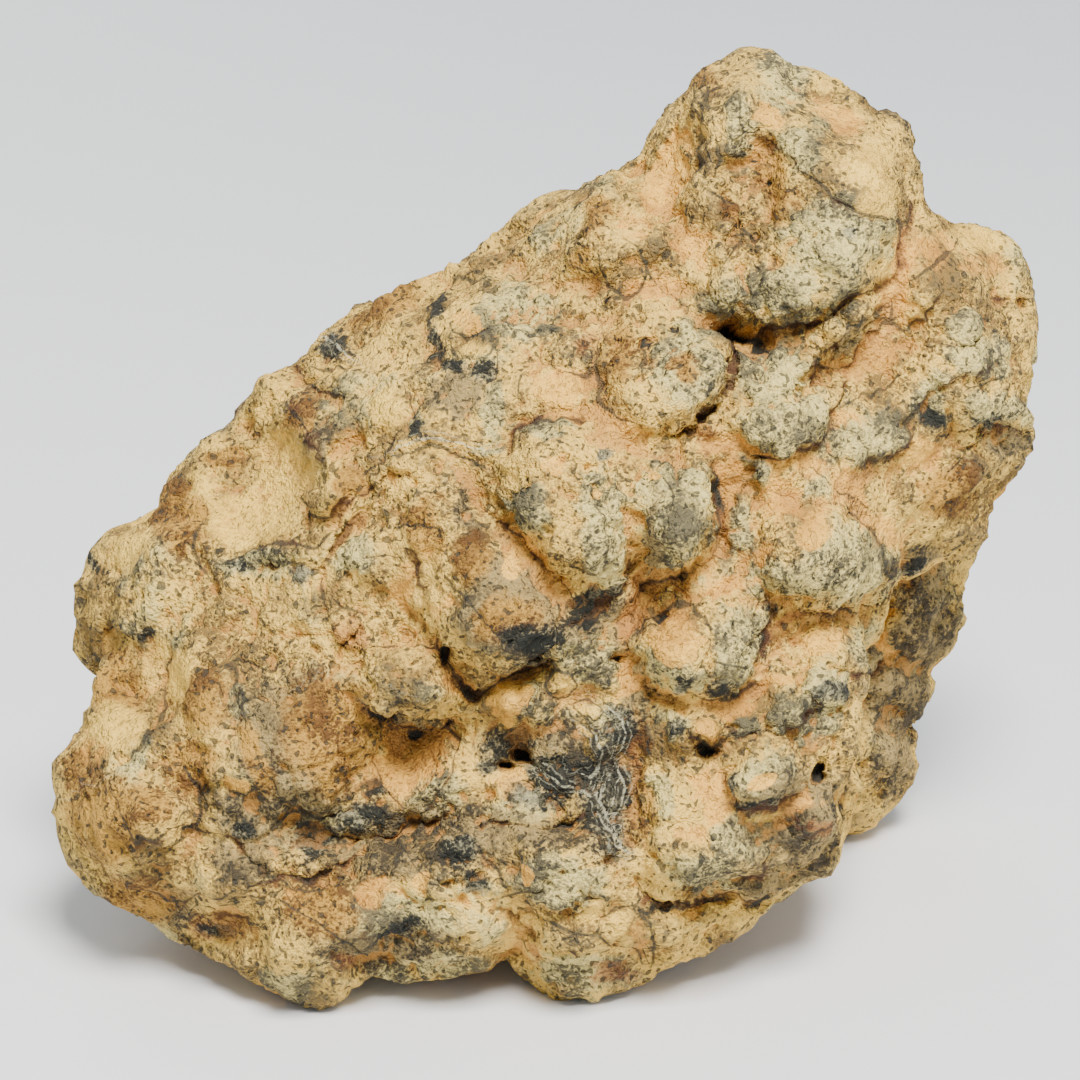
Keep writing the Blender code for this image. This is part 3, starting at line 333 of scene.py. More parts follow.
# Fine cracks, by their points.
CRACKS = {
    "block_lines": ((17, 48), (16.8, 44), (17.3, 41)),
    "block_lines_left": ((15.6, 45), (16, 42.5), (15.5, 40), (15.8, 37.5)),
    "block_lines_right": ((20, 44), (19.8, 41.5), (20.6, 40.2), (22, 40.8)),
    "block_lines_low": ((17.5, 39.5), (18, 38), (17.2, 36.5)),
    "block_hollow_arc": ((17, 35), (18, 34), (19.8, 33.2), (20.2, 31), (22, 30)),
    "block_foot": ((17.5, 25.5), (19, 28), (20, 29.5)),
    "block_foot_right": ((21, 25), (22.4, 27), (23.6, 28.6)),
    "shoulder_edge": ((5, 34.6), (3.5, 33.5), (2.7, 31.5), (2.5, 30), (3.3, 27.6), (4.8, 26.8)),
    "shoulder_arc": ((8.4, 29.8), (10.2, 28.4), (11.2, 26.4), (12.6, 24.6), (14.6, 23.8)),
    "shoulder_ring": ((6.2, 27), (6.6, 25), (8.2, 24), (10, 24.6), (10.6, 26.6)),
    "ring_arc": ((-4, 26.2), (-5.6, 25.8), (-8, 25.9), (-9.4, 24.8), (-10.2, 23), (-10.9, 21),
        (-10.7, 19), (-10, 17.6), (-8.5, 16.4), (-6.5, 15.6), (-4.6, 16), (-4.2, 18)),
    "ring_inner": ((-8.6, 22.6), (-8.6, 20.8), (-7.2, 20.4), (-5.2, 20.8), (-4.2, 19.4),
        (-5.6, 17.8), (-8, 17.6), (-9, 19)),
    "boxy_left": ((6, 23), (5.7, 20), (5.7, 15), (6, 13.6), (7.5, 12.4), (10, 11.6)),
    "boxy_edge": ((10.8, 21.8), (10.2, 18), (10.6, 14.6), (12, 12.6)),
    "arc_ledge": ((-2.2, 14.6), (-1.6, 16.4), (0.5, 17.6), (2.6, 16.8), (4.6, 16.2), (5.2, 17.2)),
    "dome_crack": ((0.4, 9.4), (1.4, 8.6), (2.6, 8), (4, 7.6), (5.4, 7.2), (6.2, 8.6)),
    "dome_low": ((4.8, 3.4), (6, 2.4), (6.7, 0), (6.2, -2)),
    "dome_right": ((6.4, 6.6), (7.6, 5.4), (8.6, 3.4), (9, 0.8), (8.9, -1.8)),
    "dome_ring": ((5.2, 5), (5.8, 5.2), (6.9, 4.6), (6.8, 3.7), (5.9, 3.6), (5.3, 4.4), (5.2, 5)),
    "seam_tail": ((0.8, -2.8), (2, -4), (3.2, -5.6)),
    "knob_crack": ((12.4, 5.6), (13, 4.6), (13.4, 3.4)),
    "knob_ring": ((9.4, 2.2), (10.4, 2.5), (11.2, 2), (10.6, 1.4), (9.6, 1.6), (9.4, 2.2)),
    "lobe_crack": ((30.6, 13.4), (32, 14.4), (33.4, 14.2), (34.6, 14.8), (35.6, 16)),
    "lobe_lines": ((29.4, 11.4), (30.6, 11), (31.8, 9.8), (33, 8.8), (33.6, 7.4)),
    "peach_fold": ((27.4, 7), (29, 5.6), (31, 4.4), (32.6, 3.6), (34.4, 2)),
    "peach_fold_low": ((31, 3.2), (32.8, 1.4), (34, -0.8), (35.2, -3.8)),
    "far_crack": ((43.6, 15), (44.8, 15.8), (45.6, 16.6)),
    "far_valley": ((39.6, 4.4), (41, 6.8), (42.6, 8.8), (44.4, 10.4)),
    "top_right_valley": ((37.6, 26), (39.6, 27.8), (41.6, 29.6)),
    "pale_rim_left": ((10.2, -14.4), (9.9, -11), (10.8, -8.2), (13, -6.2), (15.4, -6.8),
        (16.6, -9), (16.4, -12), (14.6, -14.2)),
    "pale_lines": ((17, -12.4), (18.6, -12.2), (20.4, -12.6), (21.6, -12)),
    "dark_lump_line": ((20.8, -4.6), (21.4, -6.4), (20.6, -8.2), (21.6, -10)),
    "swirl_white_edge": ((3, -17.6), (4.8, -19.2), (5.8, -21), (6.4, -23.6), (7.6, -27),
        (9, -30.6)),
    "swirl_low": ((1, -22.4), (3.4, -23.8), (5, -25.4), (6.6, -28.2), (8.4, -31)),
    "swirl_inner": ((6.8, -21.6), (7.6, -23.4), (7.4, -25.6), (8.6, -28.8)),
    "clast_small": ((0.4, -14.6), (1.2, -13.4), (2.8, -13.2), (3.8, -14.4), (3, -15.9),
        (1.4, -16.2), (0.4, -14.6)),
    "clast_triangle": ((3.4, -16.6), (5.2, -16), (6.4, -17.4), (5, -18.6), (3.4, -16.6)),
    "slit_crack": ((4, -28.2), (5.4, -29.8), (6.4, -31.4), (8.6, -31.8)),
    "clast_crack": ((1, -38.4), (3.4, -39.6), (5.4, -39.6), (6, -38), (7.4, -36.9), (9.4, -36)),
    "clast_top": ((-4.6, -36.2), (-2, -35.4), (0.6, -35), (3.6, -35.6), (5.6, -35.9)),
    "clast_foot": ((5.4, -39.7), (7.2, -40.6), (9.2, -41), (10.6, -42.4)),
    "bottom_folds": ((9.6, -36.6), (11.2, -38.4), (11.8, -40.6), (11, -42.6)),
    "arch": ((-20, -3), (-18.6, -1.8), (-16, -1.5), (-13.4, -1.6)),
    "middle_lines": ((-16.6, 0.4), (-14.4, 1.4), (-12, 1.8), (-10, 1)),
    "small_lump_top": ((-17.4, -11.2), (-15, -10.6), (-12, -10.4), (-10.2, -11)),
    "rust_rim": ((-21.8, -8), (-20.8, -10.6), (-19.4, -12.4), (-17.8, -12), (-16.8, -9.4),
        (-17.8, -7.4), (-20, -6.8), (-21.8, -8)),
    "rust_fold": ((-16.4, -18.2), (-16.8, -21.4), (-15.6, -25), (-13.6, -26.8)),
    "rust_fold_right": ((-9.4, -18.4), (-8, -20.4), (-8.6, -23.6), (-10.8, -26)),
    "orange_spot_edge": ((-9.6, -4.2), (-8, -5.4), (-6.4, -7), (-4.6, -8.4), (-3, -9.6)),
    "left_crack": ((-38.6, -1.6), (-37, -3.4), (-35.6, -5)),
    "left_lines": ((-33.8, 3.2), (-34.2, 1), (-34.6, -1.4), (-33.6, -3.6)),
    "left_clast": ((-31.6, -12.6), (-30, -11.6), (-28.4, -12.6), (-27, -13.4), (-25.4, -12.6)),
    "left_clast_side": ((-30.6, -12.4), (-30.4, -15.4), (-29.4, -17.6)),
    "left_wall": ((-36.8, -10.6), (-37.6, -13.4), (-37.4, -16.6), (-39, -19.6), (-41.6, -21.8)),
    "gold_lines": ((-42.6, -22.8), (-42, -26), (-40.2, -29.8)),
    "gold_side": ((-35.8, -22.6), (-34, -24.4), (-33.6, -27.2), (-34.4, -29.4)),
    "toe_crack": ((-29.4, -31.2), (-27, -33.4), (-24.4, -35), (-21.6, -34.6)),
    "toe_lines": ((-25.8, -36.2), (-23, -37.6), (-20.4, -39.6), (-17.6, -41)),
    "brown_dome_edge": ((-30.2, -14.6), (-29.6, -18.4), (-27.6, -22.6), (-25.4, -26.4),
        (-22.4, -27.6), (-19, -27)),
    "low_middle_lines": ((-13.6, -31.4), (-11.4, -33.6), (-9, -35), (-6.6, -37)),
    "low_middle_lines_right": ((-8.6, -28.4), (-6.4, -30.6), (-4.2, -33), (-3.4, -35.2)),
    "vein_edge": ((-13, 6.6), (-15.5, 6.4), (-16.2, 4.8), (-17.4, 3.2), (-19.6, 1.2), (-21, -1.2),
        (-22.4, -2.6), (-24.2, -2.6), (-26, -2.2)),
    "vein_edge_high": LIPS["vein_high"][3:],
    "vein_tail": ((-21.6, -1.8), (-22, -4), (-21.6, -6)),
    "crystal_edge": ((-22, 20.4), (-20, 20), (-18.4, 18.4), (-19.4, 17), (-22.4, 17)),
    "streak_edge": ((-14.6, 8.4), (-12.4, 8.6), (-10.6, 9.6), (-8.4, 8.6), (-6, 7.4)),
    "grey_spot_edge": ((-12.8, 13.8), (-12.2, 11.6), (-11.4, 10.4)),
}
# Raised veins and folds: height, half width and points.
RIDGES = {
    "hollow_vein": (0.9, 0.7, (-12.5, 7.2), (-14.5, 7.6), (-15.9, 6.6), (-17.2, 4.2), (-19, 2.4),
        (-20.8, 0.4), (-21.8, -1.6), (-24, -1.6), (-26, -1.5), (-28.5, -1.8)),
    "block_ridge": (1.2, 0.9, (20.5, 44.5), (18.5, 38.5), (17, 34.5), (18.5, 29), (18.5, 25)),
    "block_ridge_left": (0.9, 0.7, (9.8, 38), (11.5, 39.7), (14.5, 45.5), (17, 42), (16.5, 38)),
    "nose_ridge": (1.5, 1.4, (-27.4, 15.8), (-24.8, 13.6), (-23, 10.4), (-21.6, 7.2),
        (-20.8, 4.4)),
    "hollow_rim": (0.8, 1.2, (-36.6, 4), (-34, 8.6), (-30.6, 11.8), (-27.4, 15)),
    "pale_flake": (0.7, 0.35, (29.2, 18.6), (30.8, 19.6), (32.2, 21), (34.4, 22.8)),
    "right_ridge": (0.5, 0.35, (33, 5.4), (33.6, 2.2), (34.6, -1), (35, -4)),
    "front_edge_ridge": (0.7, 0.4, (30, -17.4), (30.2, -20.4), (31, -23.2), (32, -25.4)),
    "rust_hole_fold": (0.8, 0.9, (-9.6, -18.8), (-9.2, -21.4), (-10.4, -24.2), (-12.8, -26.4)),
    "swirl_streak": (0.4, 0.35, (4.4, -18), (5.6, -20.2), (6, -22.4), (6.8, -25.4), (8, -29)),
    "bottom_fold": (0.5, 0.4, (10.6, -37), (11.6, -39.4), (11.4, -41.8)),
}
# Pale streaks of melt, by their points.
STREAKS = {
    "swirl_hook": ((4.4, -19), (5.4, -19.8), (6.2, -20.9), (6.6, -21.8), (6.1, -23), (4.9, -23.8),
        (3.9, -23.6)),
    "swirl_middle": ((7, -22), (7.2, -23.5), (6.2, -25), (6, -26.6), (7, -28.1), (7.6, -29.6),
        (8.1, -30.7)),
    "swirl_right": ((8.1, -23.2), (8.5, -24.7), (7.9, -26.2), (7.6, -27.7), (8.2, -29.2)),
    "swirl_left": ((5.2, -24.7), (5.6, -26.2), (6.4, -28.4), (7.2, -30.7), (8.5, -31.2)),
    "swirl_tail": ((0.2, -23.2), (2.1, -24.3), (4, -24.8), (5.1, -25.8)),
    "swirl_top": ((7, -17), (8.2, -18), (8.6, -19.6), (8, -21.4)),
    "crystal_cross": ((-22.4, 20.6), (-20.6, 19.6), (-18.8, 18.2)),
    "vein_light": ((-6, 9.2), (-8.4, 9.8), (-10.6, 10.2), (-12.6, 9.4), (-14.6, 8.9)),
}
# Holes: depth, and an oval: middle across and up, half sizes, and its turn in degrees, if any.
HOLES = {
    "black_hole": (5, 19.3, 20.7, 1.25, 0.65, -12),
    "black_hole_apron": (1, 21.6, 19.8, 1.8, 0.6, -28),
    "slanted_hole": (3, -0.8, -11.4, 1.2, 0.55, 10),
    "slanted_slit_hole": (1.2, -3.6, -10.1, 0.55, 0.3, 35),
    "twin_hole": (3.4, -1.6, -21.8, 1.2, 0.62, 5),
    "twin_hole_left": (2.8, -3.7, -22.9, 0.95, 0.5, -8),
    "rust_hole": (2.2, -12.8, -19.5, 1.1, 0.5, -12),
    "orange_hole": (2.8, 16.4, -20.8, 1.3, 0.55),
    "low_slit": (2.4, 2.6, -28.7, 1.3, 0.45, 14),
    "pale_slit": (2.2, 12.2, -7.5, 1, 0.4, 45),
    "shelf_slit": (1.4, 7.8, -11.9, 0.9, 0.3, 8),
    "left_slit": (1.6, -43, -8.9, 0.8, 0.3, -5),
    "seam_slit": (1.6, -16.5, -29.9, 1.1, 0.35, -12),
    "edge_hole": (2, 28, -23.2, 0.8, 0.9, 30),
    "block_pit": (0.9, 21.8, 37.8, 0.5, 0.35, 20),
    "block_pit_low": (0.8, 22.9, 35.4, 0.45, 0.35, 20),
    "boxy_pit": (0.9, 13.3, 21, 0.45, 0.4),
    "boxy_pit_top": (0.8, 7, 23.4, 0.4, 0.35),
    "boxy_pit_left": (0.8, 10.8, 20, 0.4, 0.5),
    "knob_pit": (0.9, 12.4, 0.6, 0.5, 0.4),
    "right_pocket": (0.9, 40.2, 10.9, 0.8, 0.3, -8),
    "rust_pore_1": (1.1, -18, -8.6, 0.4, 0.25, 20),
    "rust_pore_2": (1.3, -18.8, -9.4, 0.35, 0.5, -30),
    "rust_pore_3": (1.2, -19.8, -10.4, 0.45, 0.3),
    "rust_pore_4": (1, -18.2, -10.9, 0.3, 0.5, 10),
    "rust_pore_5": (1, -18.6, -7.6, 0.5, 0.25, -10),
}
# Knobs and small clasts: height, which is below 0 for a hollow, and an oval.
KNOBS = {
    "peach_bump": (0.6, 22, 6.4, 1.2, 1.5),
    "peach_bump_right": (0.5, 27.6, 5.2, 2, 1.4, -10),
    "peach_bump_low": (0.7, 19.9, 1.2, 1.9, 3, -5),
    "right_clast": (0.6, 42.4, 21.8, 1.9, 2.4, -15),
    "right_lump": (0.7, 43.6, 17.8, 2.4, 1.2, 10),
    "right_hood": (1.1, 46, 12.8, 3, 1.7, 10),
    "far_lump": (0.6, 47.8, 25, 1.6, 1.2),
    "beside_block": (0.8, 37.2, 23.2, 2, 1.5, 25),
    "below_block": (0.7, 32.6, 23.2, 1.8, 1.3, 25),
    "below_block_left": (0.7, 28.6, 20.6, 2, 1.4, 30),
    "below_block_far_left": (0.6, 25.4, 23.4, 2.4, 1.4, 20),
    "grey_below_hole": (0.7, 23.4, 17, 3, 2.6),
    "shoulder_bead": (0.5, 8.4, 26, 1.8, 1.8),
    "crystal": (0.8, -19.6, 19.2, 1.4, 1.2, 30),
    "crystal_left": (0.6, -21.8, 19, 1, 0.9),
    "orange_left": (0.9, -21.8, 16.6, 1.8, 1, -15),
    "nose": (0.9, -21.2, 4, 1.3, 1.5, 20),
    "upper_left_swelling": (0.6, -26, 15.6, 1.6, 1.6),
    "pale_crystal": (0.6, -34, 5, 0.9, 2.2, 15),
    "pocket": (-1.2, -42.9, -10.4, 1.5, 1.7),
    "left_clast": (0.5, -30, -16.2, 1.1, 3, 8),
    "white_grain": (0.5, -26.5, -13.7, 0.6, 0.5, 30),
    "gold_lump": (0.9, -38.2, -27, 2.8, 2.5),
    "gold_lump_small": (0.7, -34.8, -22.8, 1.4, 1.2),
    "left_lumps": (0.6, -32.4, -23, 1.5, 1.2),
    "left_lumps_low": (0.6, -31.2, -27, 1.6, 1, 10),
    "left_lumps_high": (0.6, -33, -18.6, 2, 1.6, 40),
    "corner_hollow": (-0.8, -43.2, -32.6, 1.6, 1),
    "toe_swelling": (0.6, -24.6, -37.4, 3, 1.4, -20),
    "dome_grey_face": (0.5, -1, 2.6, 1.8, 2.8, 25),
    "dome_bead": (0.4, 6, 4.4, 0.9, 0.8),
    "dome_face": (0.5, 1.6, -1.4, 1.4, 1.8, 20),
    "clast_under_slit": (0.4, -2.6, -15.8, 2.8, 2.2),
    "clast_round": (0.5, 2.4, -14.6, 1.4, 1.4),
    "clast_triangle": (0.4, 4.8, -17.4, 1.5, 0.9, -35),
    "swirl_lump": (0.7, 1, -20.4, 2.2, 1.8),
    "dark_lump": (0.5, -4.6, -20.6, 1.9, 1.9),
    "below_twins": (0.6, -3.2, -25, 2, 1.2, 10),
    "pale_clast": (0.6, 13.9, -9.6, 2.6, 3.8, 20),
    "speckled_knob": (0.6, 20, -10.6, 2.6, 2.8),
    "pale_top": (0.6, 22, -3.8, 2.2, 1.8),
    "pale_top_left": (0.5, 16.4, -4.6, 2.4, 0.9, 8),
    "orange_slope": (0.5, 28.4, -10.2, 2.6, 1.8, 25),
    "grey_shoulder": (0.6, 32.6, -10.6, 1.5, 2.2),
    "dark_lump_right": (0.7, 28.2, -14.4, 2, 1.8),
    "stack": (0.8, 24.6, -17.4, 2.2, 1.4, 25),
    "stack_left": (0.6, 20.6, -18.4, 1.4, 1.3),
    "stack_low": (0.6, 27.6, -19.6, 2.2, 1.8, 30),
    "stack_foot": (0.6, 27.4, -24.4, 1.6, 1.2, -30),
    "orange_lump": (0.9, 16.6, -18.8, 1.8, 1.4),
    "grey_lump": (0.5, 13, -18.2, 1.3, 1.8, 15),
    "ring": (0.8, 22.4, -24.2, 3.2, 2.8),
    "ring_middle": (-0.25, 22.2, -24, 1.5, 1.4),
    "rust_knob": (0.8, 27.2, -28, 2, 1.4, 20),
    "pebble": (0.8, 31, -26.8, 0.9, 0.9),
    "low_right_bead": (0.5, 20.6, -32.4, 2, 1.6),
    "low_swelling": (0.6, -10.6, -30.4, 2.4, 2),
    "low_swelling_left": (0.5, -16, -32.4, 3.4, 1.6, 10),
    "low_middle": (0.5, 1.4, -33.2, 4.4, 1.8, -8),
    "clast_face": (0.3, 4.6, -37.4, 1.9, 1.5, 20),
    "clast_face_right": (0.3, 8, -38.2, 1.7, 1.6, 30),
    "bottom_knob": (0.5, -3.4, -39.4, 1.8, 1.6),
    "bottom_swelling": (0.6, 14.4, -39.8, 2.4, 1.8, 10),
    "upper_middle": (0.4, -2, 23, 2.2, 2),
    "ring_clast": (0.5, -6.6, 21.8, 2, 1.7),
    "ring_clast_low": (0.5, -6.6, 18.8, 2.2, 1.2),
    "cream_clast": (0.5, -15.4, 12.6, 1.6, 2.6, -10),
    "round_clast": (0.4, -18.2, 11.6, 1.4, 2.2, 10),
    "middle_left_clast": (0.4, -11, 11.4, 1.8, 2),
    "orange_field": (0.4, 2, 14.8, 3, 1.6),
}
# The main lumps, which stand out like cushions with steep rims: height and an oval.
LUMPS = {
    "knob": (1.6, 13.2, 2.8, 4.6, 5.8),
    "dome": (1.2, 3.5, 5, 6.8, 7.8, 20),
    "boxy_lump": (0.7, 12.5, 17.5, 6.8, 5.8),
    "cream_lump": (1.1, 28.5, -2, 6.2, 5),
    "pale_clast_lump": (1.3, 16, -11, 6.4, 5.2),
    "slanted_lump": (1.2, -4.6, -7, 4.6, 7.6, 35),
    "small_lump": (1.2, -13.4, -14.4, 4.8, 3.6, -10),
    "brown_dome": (1.4, -24.5, -20.4, 6.4, 8.2, 15),
    "gold_lump": (0.9, -43, -28, 4.6, 5.6),
    "right_lobe": (0.7, 35, 11.6, 4.6, 4, 20),
    "ring_lump": (1.1, 22.4, -24.2, 3.8, 3.4),
    "dark_right_lump": (0.9, 29.4, -15.6, 3.6, 3, 35),
    "low_middle_lump": (1.1, 3, -34.8, 7, 4, -5),
    "swirl_lump": (0.9, 2.4, -19.6, 4.2, 3.2, -15),
    "low_right_lump": (1.2, 20, -31.8, 7.2, 3.8, 5),
    "toe_lump": (0.9, -18, -36.6, 6.6, 3.8, 5),
    "ringed_lump": (0.6, -6, 21, 5.4, 5.8),
    "shoulder_lump": (0.8, 8.6, 31.4, 4.6, 6.4, -20),
    "low_left_lump": (0.8, -31.4, -29.4, 4.4, 3.4, -20),
}
# Smooth hollows and valleys: depth, which is below 0 where a place is filled, and an oval.
DIPS = {
    "left_hollow": (2, -28.6, 4.4, 7.6, 6.8, 20),
    "left_valley": (1.4, -37.4, -16, 2.8, 6.6, 10),
    "rust_bay": (2, -33, -39.6, 4.6, 2.4),
    "groove_top": (1.2, 9.2, -12, 1.8, 5, -14),
    "groove_foot": (1, 10.4, -24.4, 2.2, 6.6, 10),
    "knob_groove": (1.6, 9.6, -6.6, 2.6, 3.4, -30),
    "rust_hollow": (-1.4, -13, -22.4, 4.6, 3.8),
    "rust_hollow_middle": (0.9, -13.8, -21.4, 1.8, 2.2),
    "dusty_valley": (1, 20.6, 5, 2.6, 7),
    "slanted_foot": (-2, -2.2, -15.8, 4.4, 3.2),
    "block_foot": (-2.2, 31.8, 19.2, 5.4, 3.2, 38),
    "block_lower_rim": (1.6, 27, 24.2, 7, 2.6, 15),
    "block_face": (0.7, 27.5, 30, 5, 4.6),
    "boxy_face": (0.8, 11.8, 17.8, 4.4, 4.2),
    "beside_block": (-0.8, 40, 24, 4, 3, 30),
    "block_hollow": (1.1, 22.6, 35.4, 3.4, 5.4, -10),
    "block_left_dip": (1, 13.6, 36.4, 2.6, 7, -18),
    "below_boxy": (1.2, 19, 9.6, 5, 1.8),
    "right_valley": (1.2, 40.2, 8.6, 2.4, 4.6, -20),
    "below_cream_lump": (1, 27.4, -9.6, 5, 2.6, 20),
    "low_seam_dip": (1, -13, -29, 7, 1.6, 8),
    "nose_left": (0.9, -25.4, 13, 2.2, 4.6, -25),
    "dome_left_valley": (0.9, -6.6, 4, 2, 7, 20),
    "beside_nose": (1.2, -19.2, 8.8, 1.7, 4.2, -12),
}
# Where an oval's edge starts and ends, as shares of its half sizes.
DIP_RIM = (0.1, 1.3)
KNOB_RIM = (0.55, 1.15)
HOLE_RIM = (0.7, 1.35)
LUMP_WANDER_SIZE = 5.0
LUMP_WANDER = 1.8
FRONT_FACING = (0.05, 0.4)
LIFT_ROUNDS = 1
# How a lip fades, as shares of its width: its edge, its slope beneath, the painted shade there and
# the near-black painted shadow in the slit that a deep one has.
LIP_TURN = (-0.4, 0.6)
LIP_EDGE = 0.5
LIP_SLOPE = 1.9
SHADE_REACH = 1.7
SLIT_PLACE = 0.6
SLIT_REACH = 0.9
SLIT_DEPTHS = (1.0, 1.9)
SHADE_EDGE = 0.3
LIP_REACH = 2.6
LIP_SHARE = 0.6
CRACK_HALF_WIDTH = 0.26
CRACK_DEPTH = 0.6
# Lips and cracks fade out here and there.
FADING_SIZE = 3.6
FADING = (-0.75, 0.45)
FADED_DEPTH = 0.45
FADED_SHADE = 0.4
# Unevenness that bends every line of the front: sizes and shifts in millimetres.
WANDERS = ((4.0, 0.5), (1.3, 0.25))
# Chance patterns, each with a number of its own, so that no two agree.
PATTERNS = {
    "wander": 11, "lump_wander": 15, "coarse_clasts": 21, "middling_clasts": 22,
    "fine_clasts": 23, "clast_wander": 31, "ground": 41, "creases": 45, "layers": 51, "flaky": 52,
    "pits": 61, "tints": 71, "fading": 81, "broad": 91, "thread": 94, "thread_small": 95,
    "veined": 96, "hidden_wander": 101, "hidden_lumps": 111, "hidden_seams": 112, "burrows": 113,
}
HASH_STEPS = (374761393, 668265263, 2246822519)
HASH_MIX = 1274126177
HASH_SHIFTS = (13, 16)
HASH_RANGE = 0xFFFFFF
HILL_GAIN = 1.7


def lots(cells, pattern):
    """A repeatable number from 0 to 1 for each row of three whole numbers."""
    steps = np.array(HASH_STEPS, dtype=np.uint32)
    mixed = (cells.astype(np.int64).astype(np.uint32) * steps).sum(axis=-1, dtype=np.uint32)
    mixed = mixed + np.uint32(pattern * HASH_MIX % (1 << 32))
    for shift in HASH_SHIFTS:
        mixed = (mixed ^ (mixed >> np.uint32(shift))) * np.uint32(HASH_MIX)
    mixed = mixed ^ (mixed >> np.uint32(HASH_SHIFTS[-1]))
    return (mixed & np.uint32(HASH_RANGE)) / HASH_RANGE


def hills(places, size, pattern):
    """Smooth hills from about -1 to 1, a size apart.

    Each corner of a lattice has a slope of its own; a place sums its eight corners' slopes,
    each weighted by 6t^5 - 15t^4 + 10t^3 along the three axes.
    """
    spots = places / size
    whole = np.floor(spots)
    part = spots - whole
    ease = part**3 * (part * (part * 6.0 - 15.0) + 10.0)
    total = np.zeros(len(places))
    for corner in np.ndindex(2, 2, 2):
        knot = whole + corner
        slope = np.stack([lots(knot, pattern * 3 + axis) for axis in range(3)], axis=1) * 2.0 - 1.0
        share = np.prod(np.where(corner, ease, 1.0 - ease), axis=1)
        total += share * ((part - corner) * slope).sum(axis=1)
    return total * HILL_GAIN


def line_side(across, up, points):
    """Distance of each place from a line through a few points, above 0 on the line's left."""
    nearest = np.full(len(across), np.inf)
    side = np.ones(len(across))
    for start, end in zip(points[:-1], points[1:]):
        run = np.array(end) - np.array(start)
        sideways = across - start[0]
        upwards = up - start[1]
        along = np.clip((sideways * run[0] + upwards * run[1]) / (run @ run), 0.0, 1.0)
        gap = np.hypot(sideways - along * run[0], upwards - along * run[1])
        left = np.where(run[0] * upwards - run[1] * sideways < 0.0, -1.0, 1.0)
        side = np.where(gap < nearest, left, side)
        nearest = np.minimum(nearest, gap)
    return side * nearest


def closer(first, second):
    """Whichever of two distances is nearer to 0, place by place."""
    return np.where(np.abs(first) < np.abs(second), first, second)


def groove(gap, half_width):
    """1 on a line, falling off to 0 on both sides as exp(-(gap / half width)^2)."""
    return np.exp(-((gap / half_width) ** 2))


def oval(across, up, middle_across, middle_up, half_across, half_up, turn=0.0):
    """How far out a place is from an oval's middle: 0 there and 1 on its edge."""
    angle = math.radians(turn)
    offset = (across - middle_across, up - middle_up)
    sideways = offset[0] * math.cos(angle) + offset[1] * math.sin(angle)
    upwards = offset[1] * math.cos(angle) - offset[0] * math.sin(angle)
    return np.hypot(sideways / half_across, upwards / half_up)


def covered_by(across, up, place, rim):
    """1 inside an oval and 0 outside it, with an S-curve along its rim."""
    return 1.0 - smoothstep(*rim, oval(across, up, *place))


normals = normals_of(skin, skin_faces)
front = smoothstep(*FRONT_FACING, normals @ TOWARDS)
true_across, true_up = as_seen(skin)
drift = [
    sum(shift * hills(skin, size, PATTERNS["wander"] + axis) for size, shift in WANDERS)
    for axis in range(2)
]
across = true_across + drift[0]
up = true_up + drift[1]
rise, lip_rise, sunk, crevice, slit, hole = np.zeros((6, len(skin)))
line_gap, streak_gap = np.full((2, len(skin)), np.inf)

lump_drift = [
    LUMP_WANDER * hills(skin, LUMP_WANDER_SIZE, PATTERNS["lump_wander"] + axis)
    for axis in range(2)
]
for height, *place in LUMPS.values():
    gap = oval(across + lump_drift[0], up + lump_drift[1], *place)
    rise = np.maximum(rise, height * np.sqrt(np.clip(1.0 - gap**2, 0.0, 1.0)))
for depth, *place in DIPS.values():
    rise -= depth * covered_by(across, up, place, DIP_RIM)
fading = smoothstep(*FADING, hills(skin, FADING_SIZE, PATTERNS["fading"]))
depth_share = FADED_DEPTH + (1.0 - FADED_DEPTH) * fading
shade_share = FADED_SHADE + (1.0 - FADED_SHADE) * fading
for height, depth, width, *points in LIPS.values():
    side = line_side(across, up, points)
    below = side < 0.0
    beneath = np.where(below, np.exp(side / (width * LIP_SLOPE)), groove(side, width * LIP_EDGE))
    lifted = smoothstep(width * LIP_TURN[0], width * LIP_TURN[1], side)
    lifted = lifted * np.exp(-np.maximum(side, 0.0) / LIP_REACH)
    lip_rise = np.maximum(lip_rise, LIP_SHARE * height * lifted)
    sunk = np.maximum(sunk, depth_share * depth * beneath)
    # Painted shade beneath a lip and along its edge, carried by the crevice trait.
    lip_shade = np.where(below, groove(side, width * SHADE_REACH), groove(side, SHADE_EDGE))
    crevice = np.maximum(crevice, shade_share * lip_shade)
    # A deep lip also gets a near-black painted shadow in its slit, carried by the hole trait.
    black = smoothstep(*SLIT_DEPTHS, depth) * depth_share
    slit = np.maximum(slit, black * groove(side + width * SLIT_PLACE, width * SLIT_REACH))
    line_gap = closer(side, line_gap)
rise += lip_rise
for points in CRACKS.values():
    side = line_side(across, up, points)
    sunk = np.maximum(sunk, CRACK_DEPTH * fading * groove(side, CRACK_HALF_WIDTH))
    line_gap = closer(side, line_gap)
for points in STREAKS.values():
    streak_gap = closer(line_side(across, up, points), streak_gap)
# A hole's opening also gets near-black painted shade in the material, through the hole trait.
for depth, *place in HOLES.values():
    opened = covered_by(across, up, place, HOLE_RIM)
    sunk = np.maximum(sunk, depth * opened)
    hole = np.maximum(hole, opened)
for height, half_width, *points in RIDGES.values():
    rise += height * groove(line_side(across, up, points), half_width)
for height, *place in KNOBS.values():
    rise += height * covered_by(across, up, place, KNOB_RIM)
lift = softened(np.repeat((rise - sunk)[:, None], 3, axis=1), skin_edges, LIFT_ROUNDS)
worked = skin + front[:, None] * lift * TOWARDS
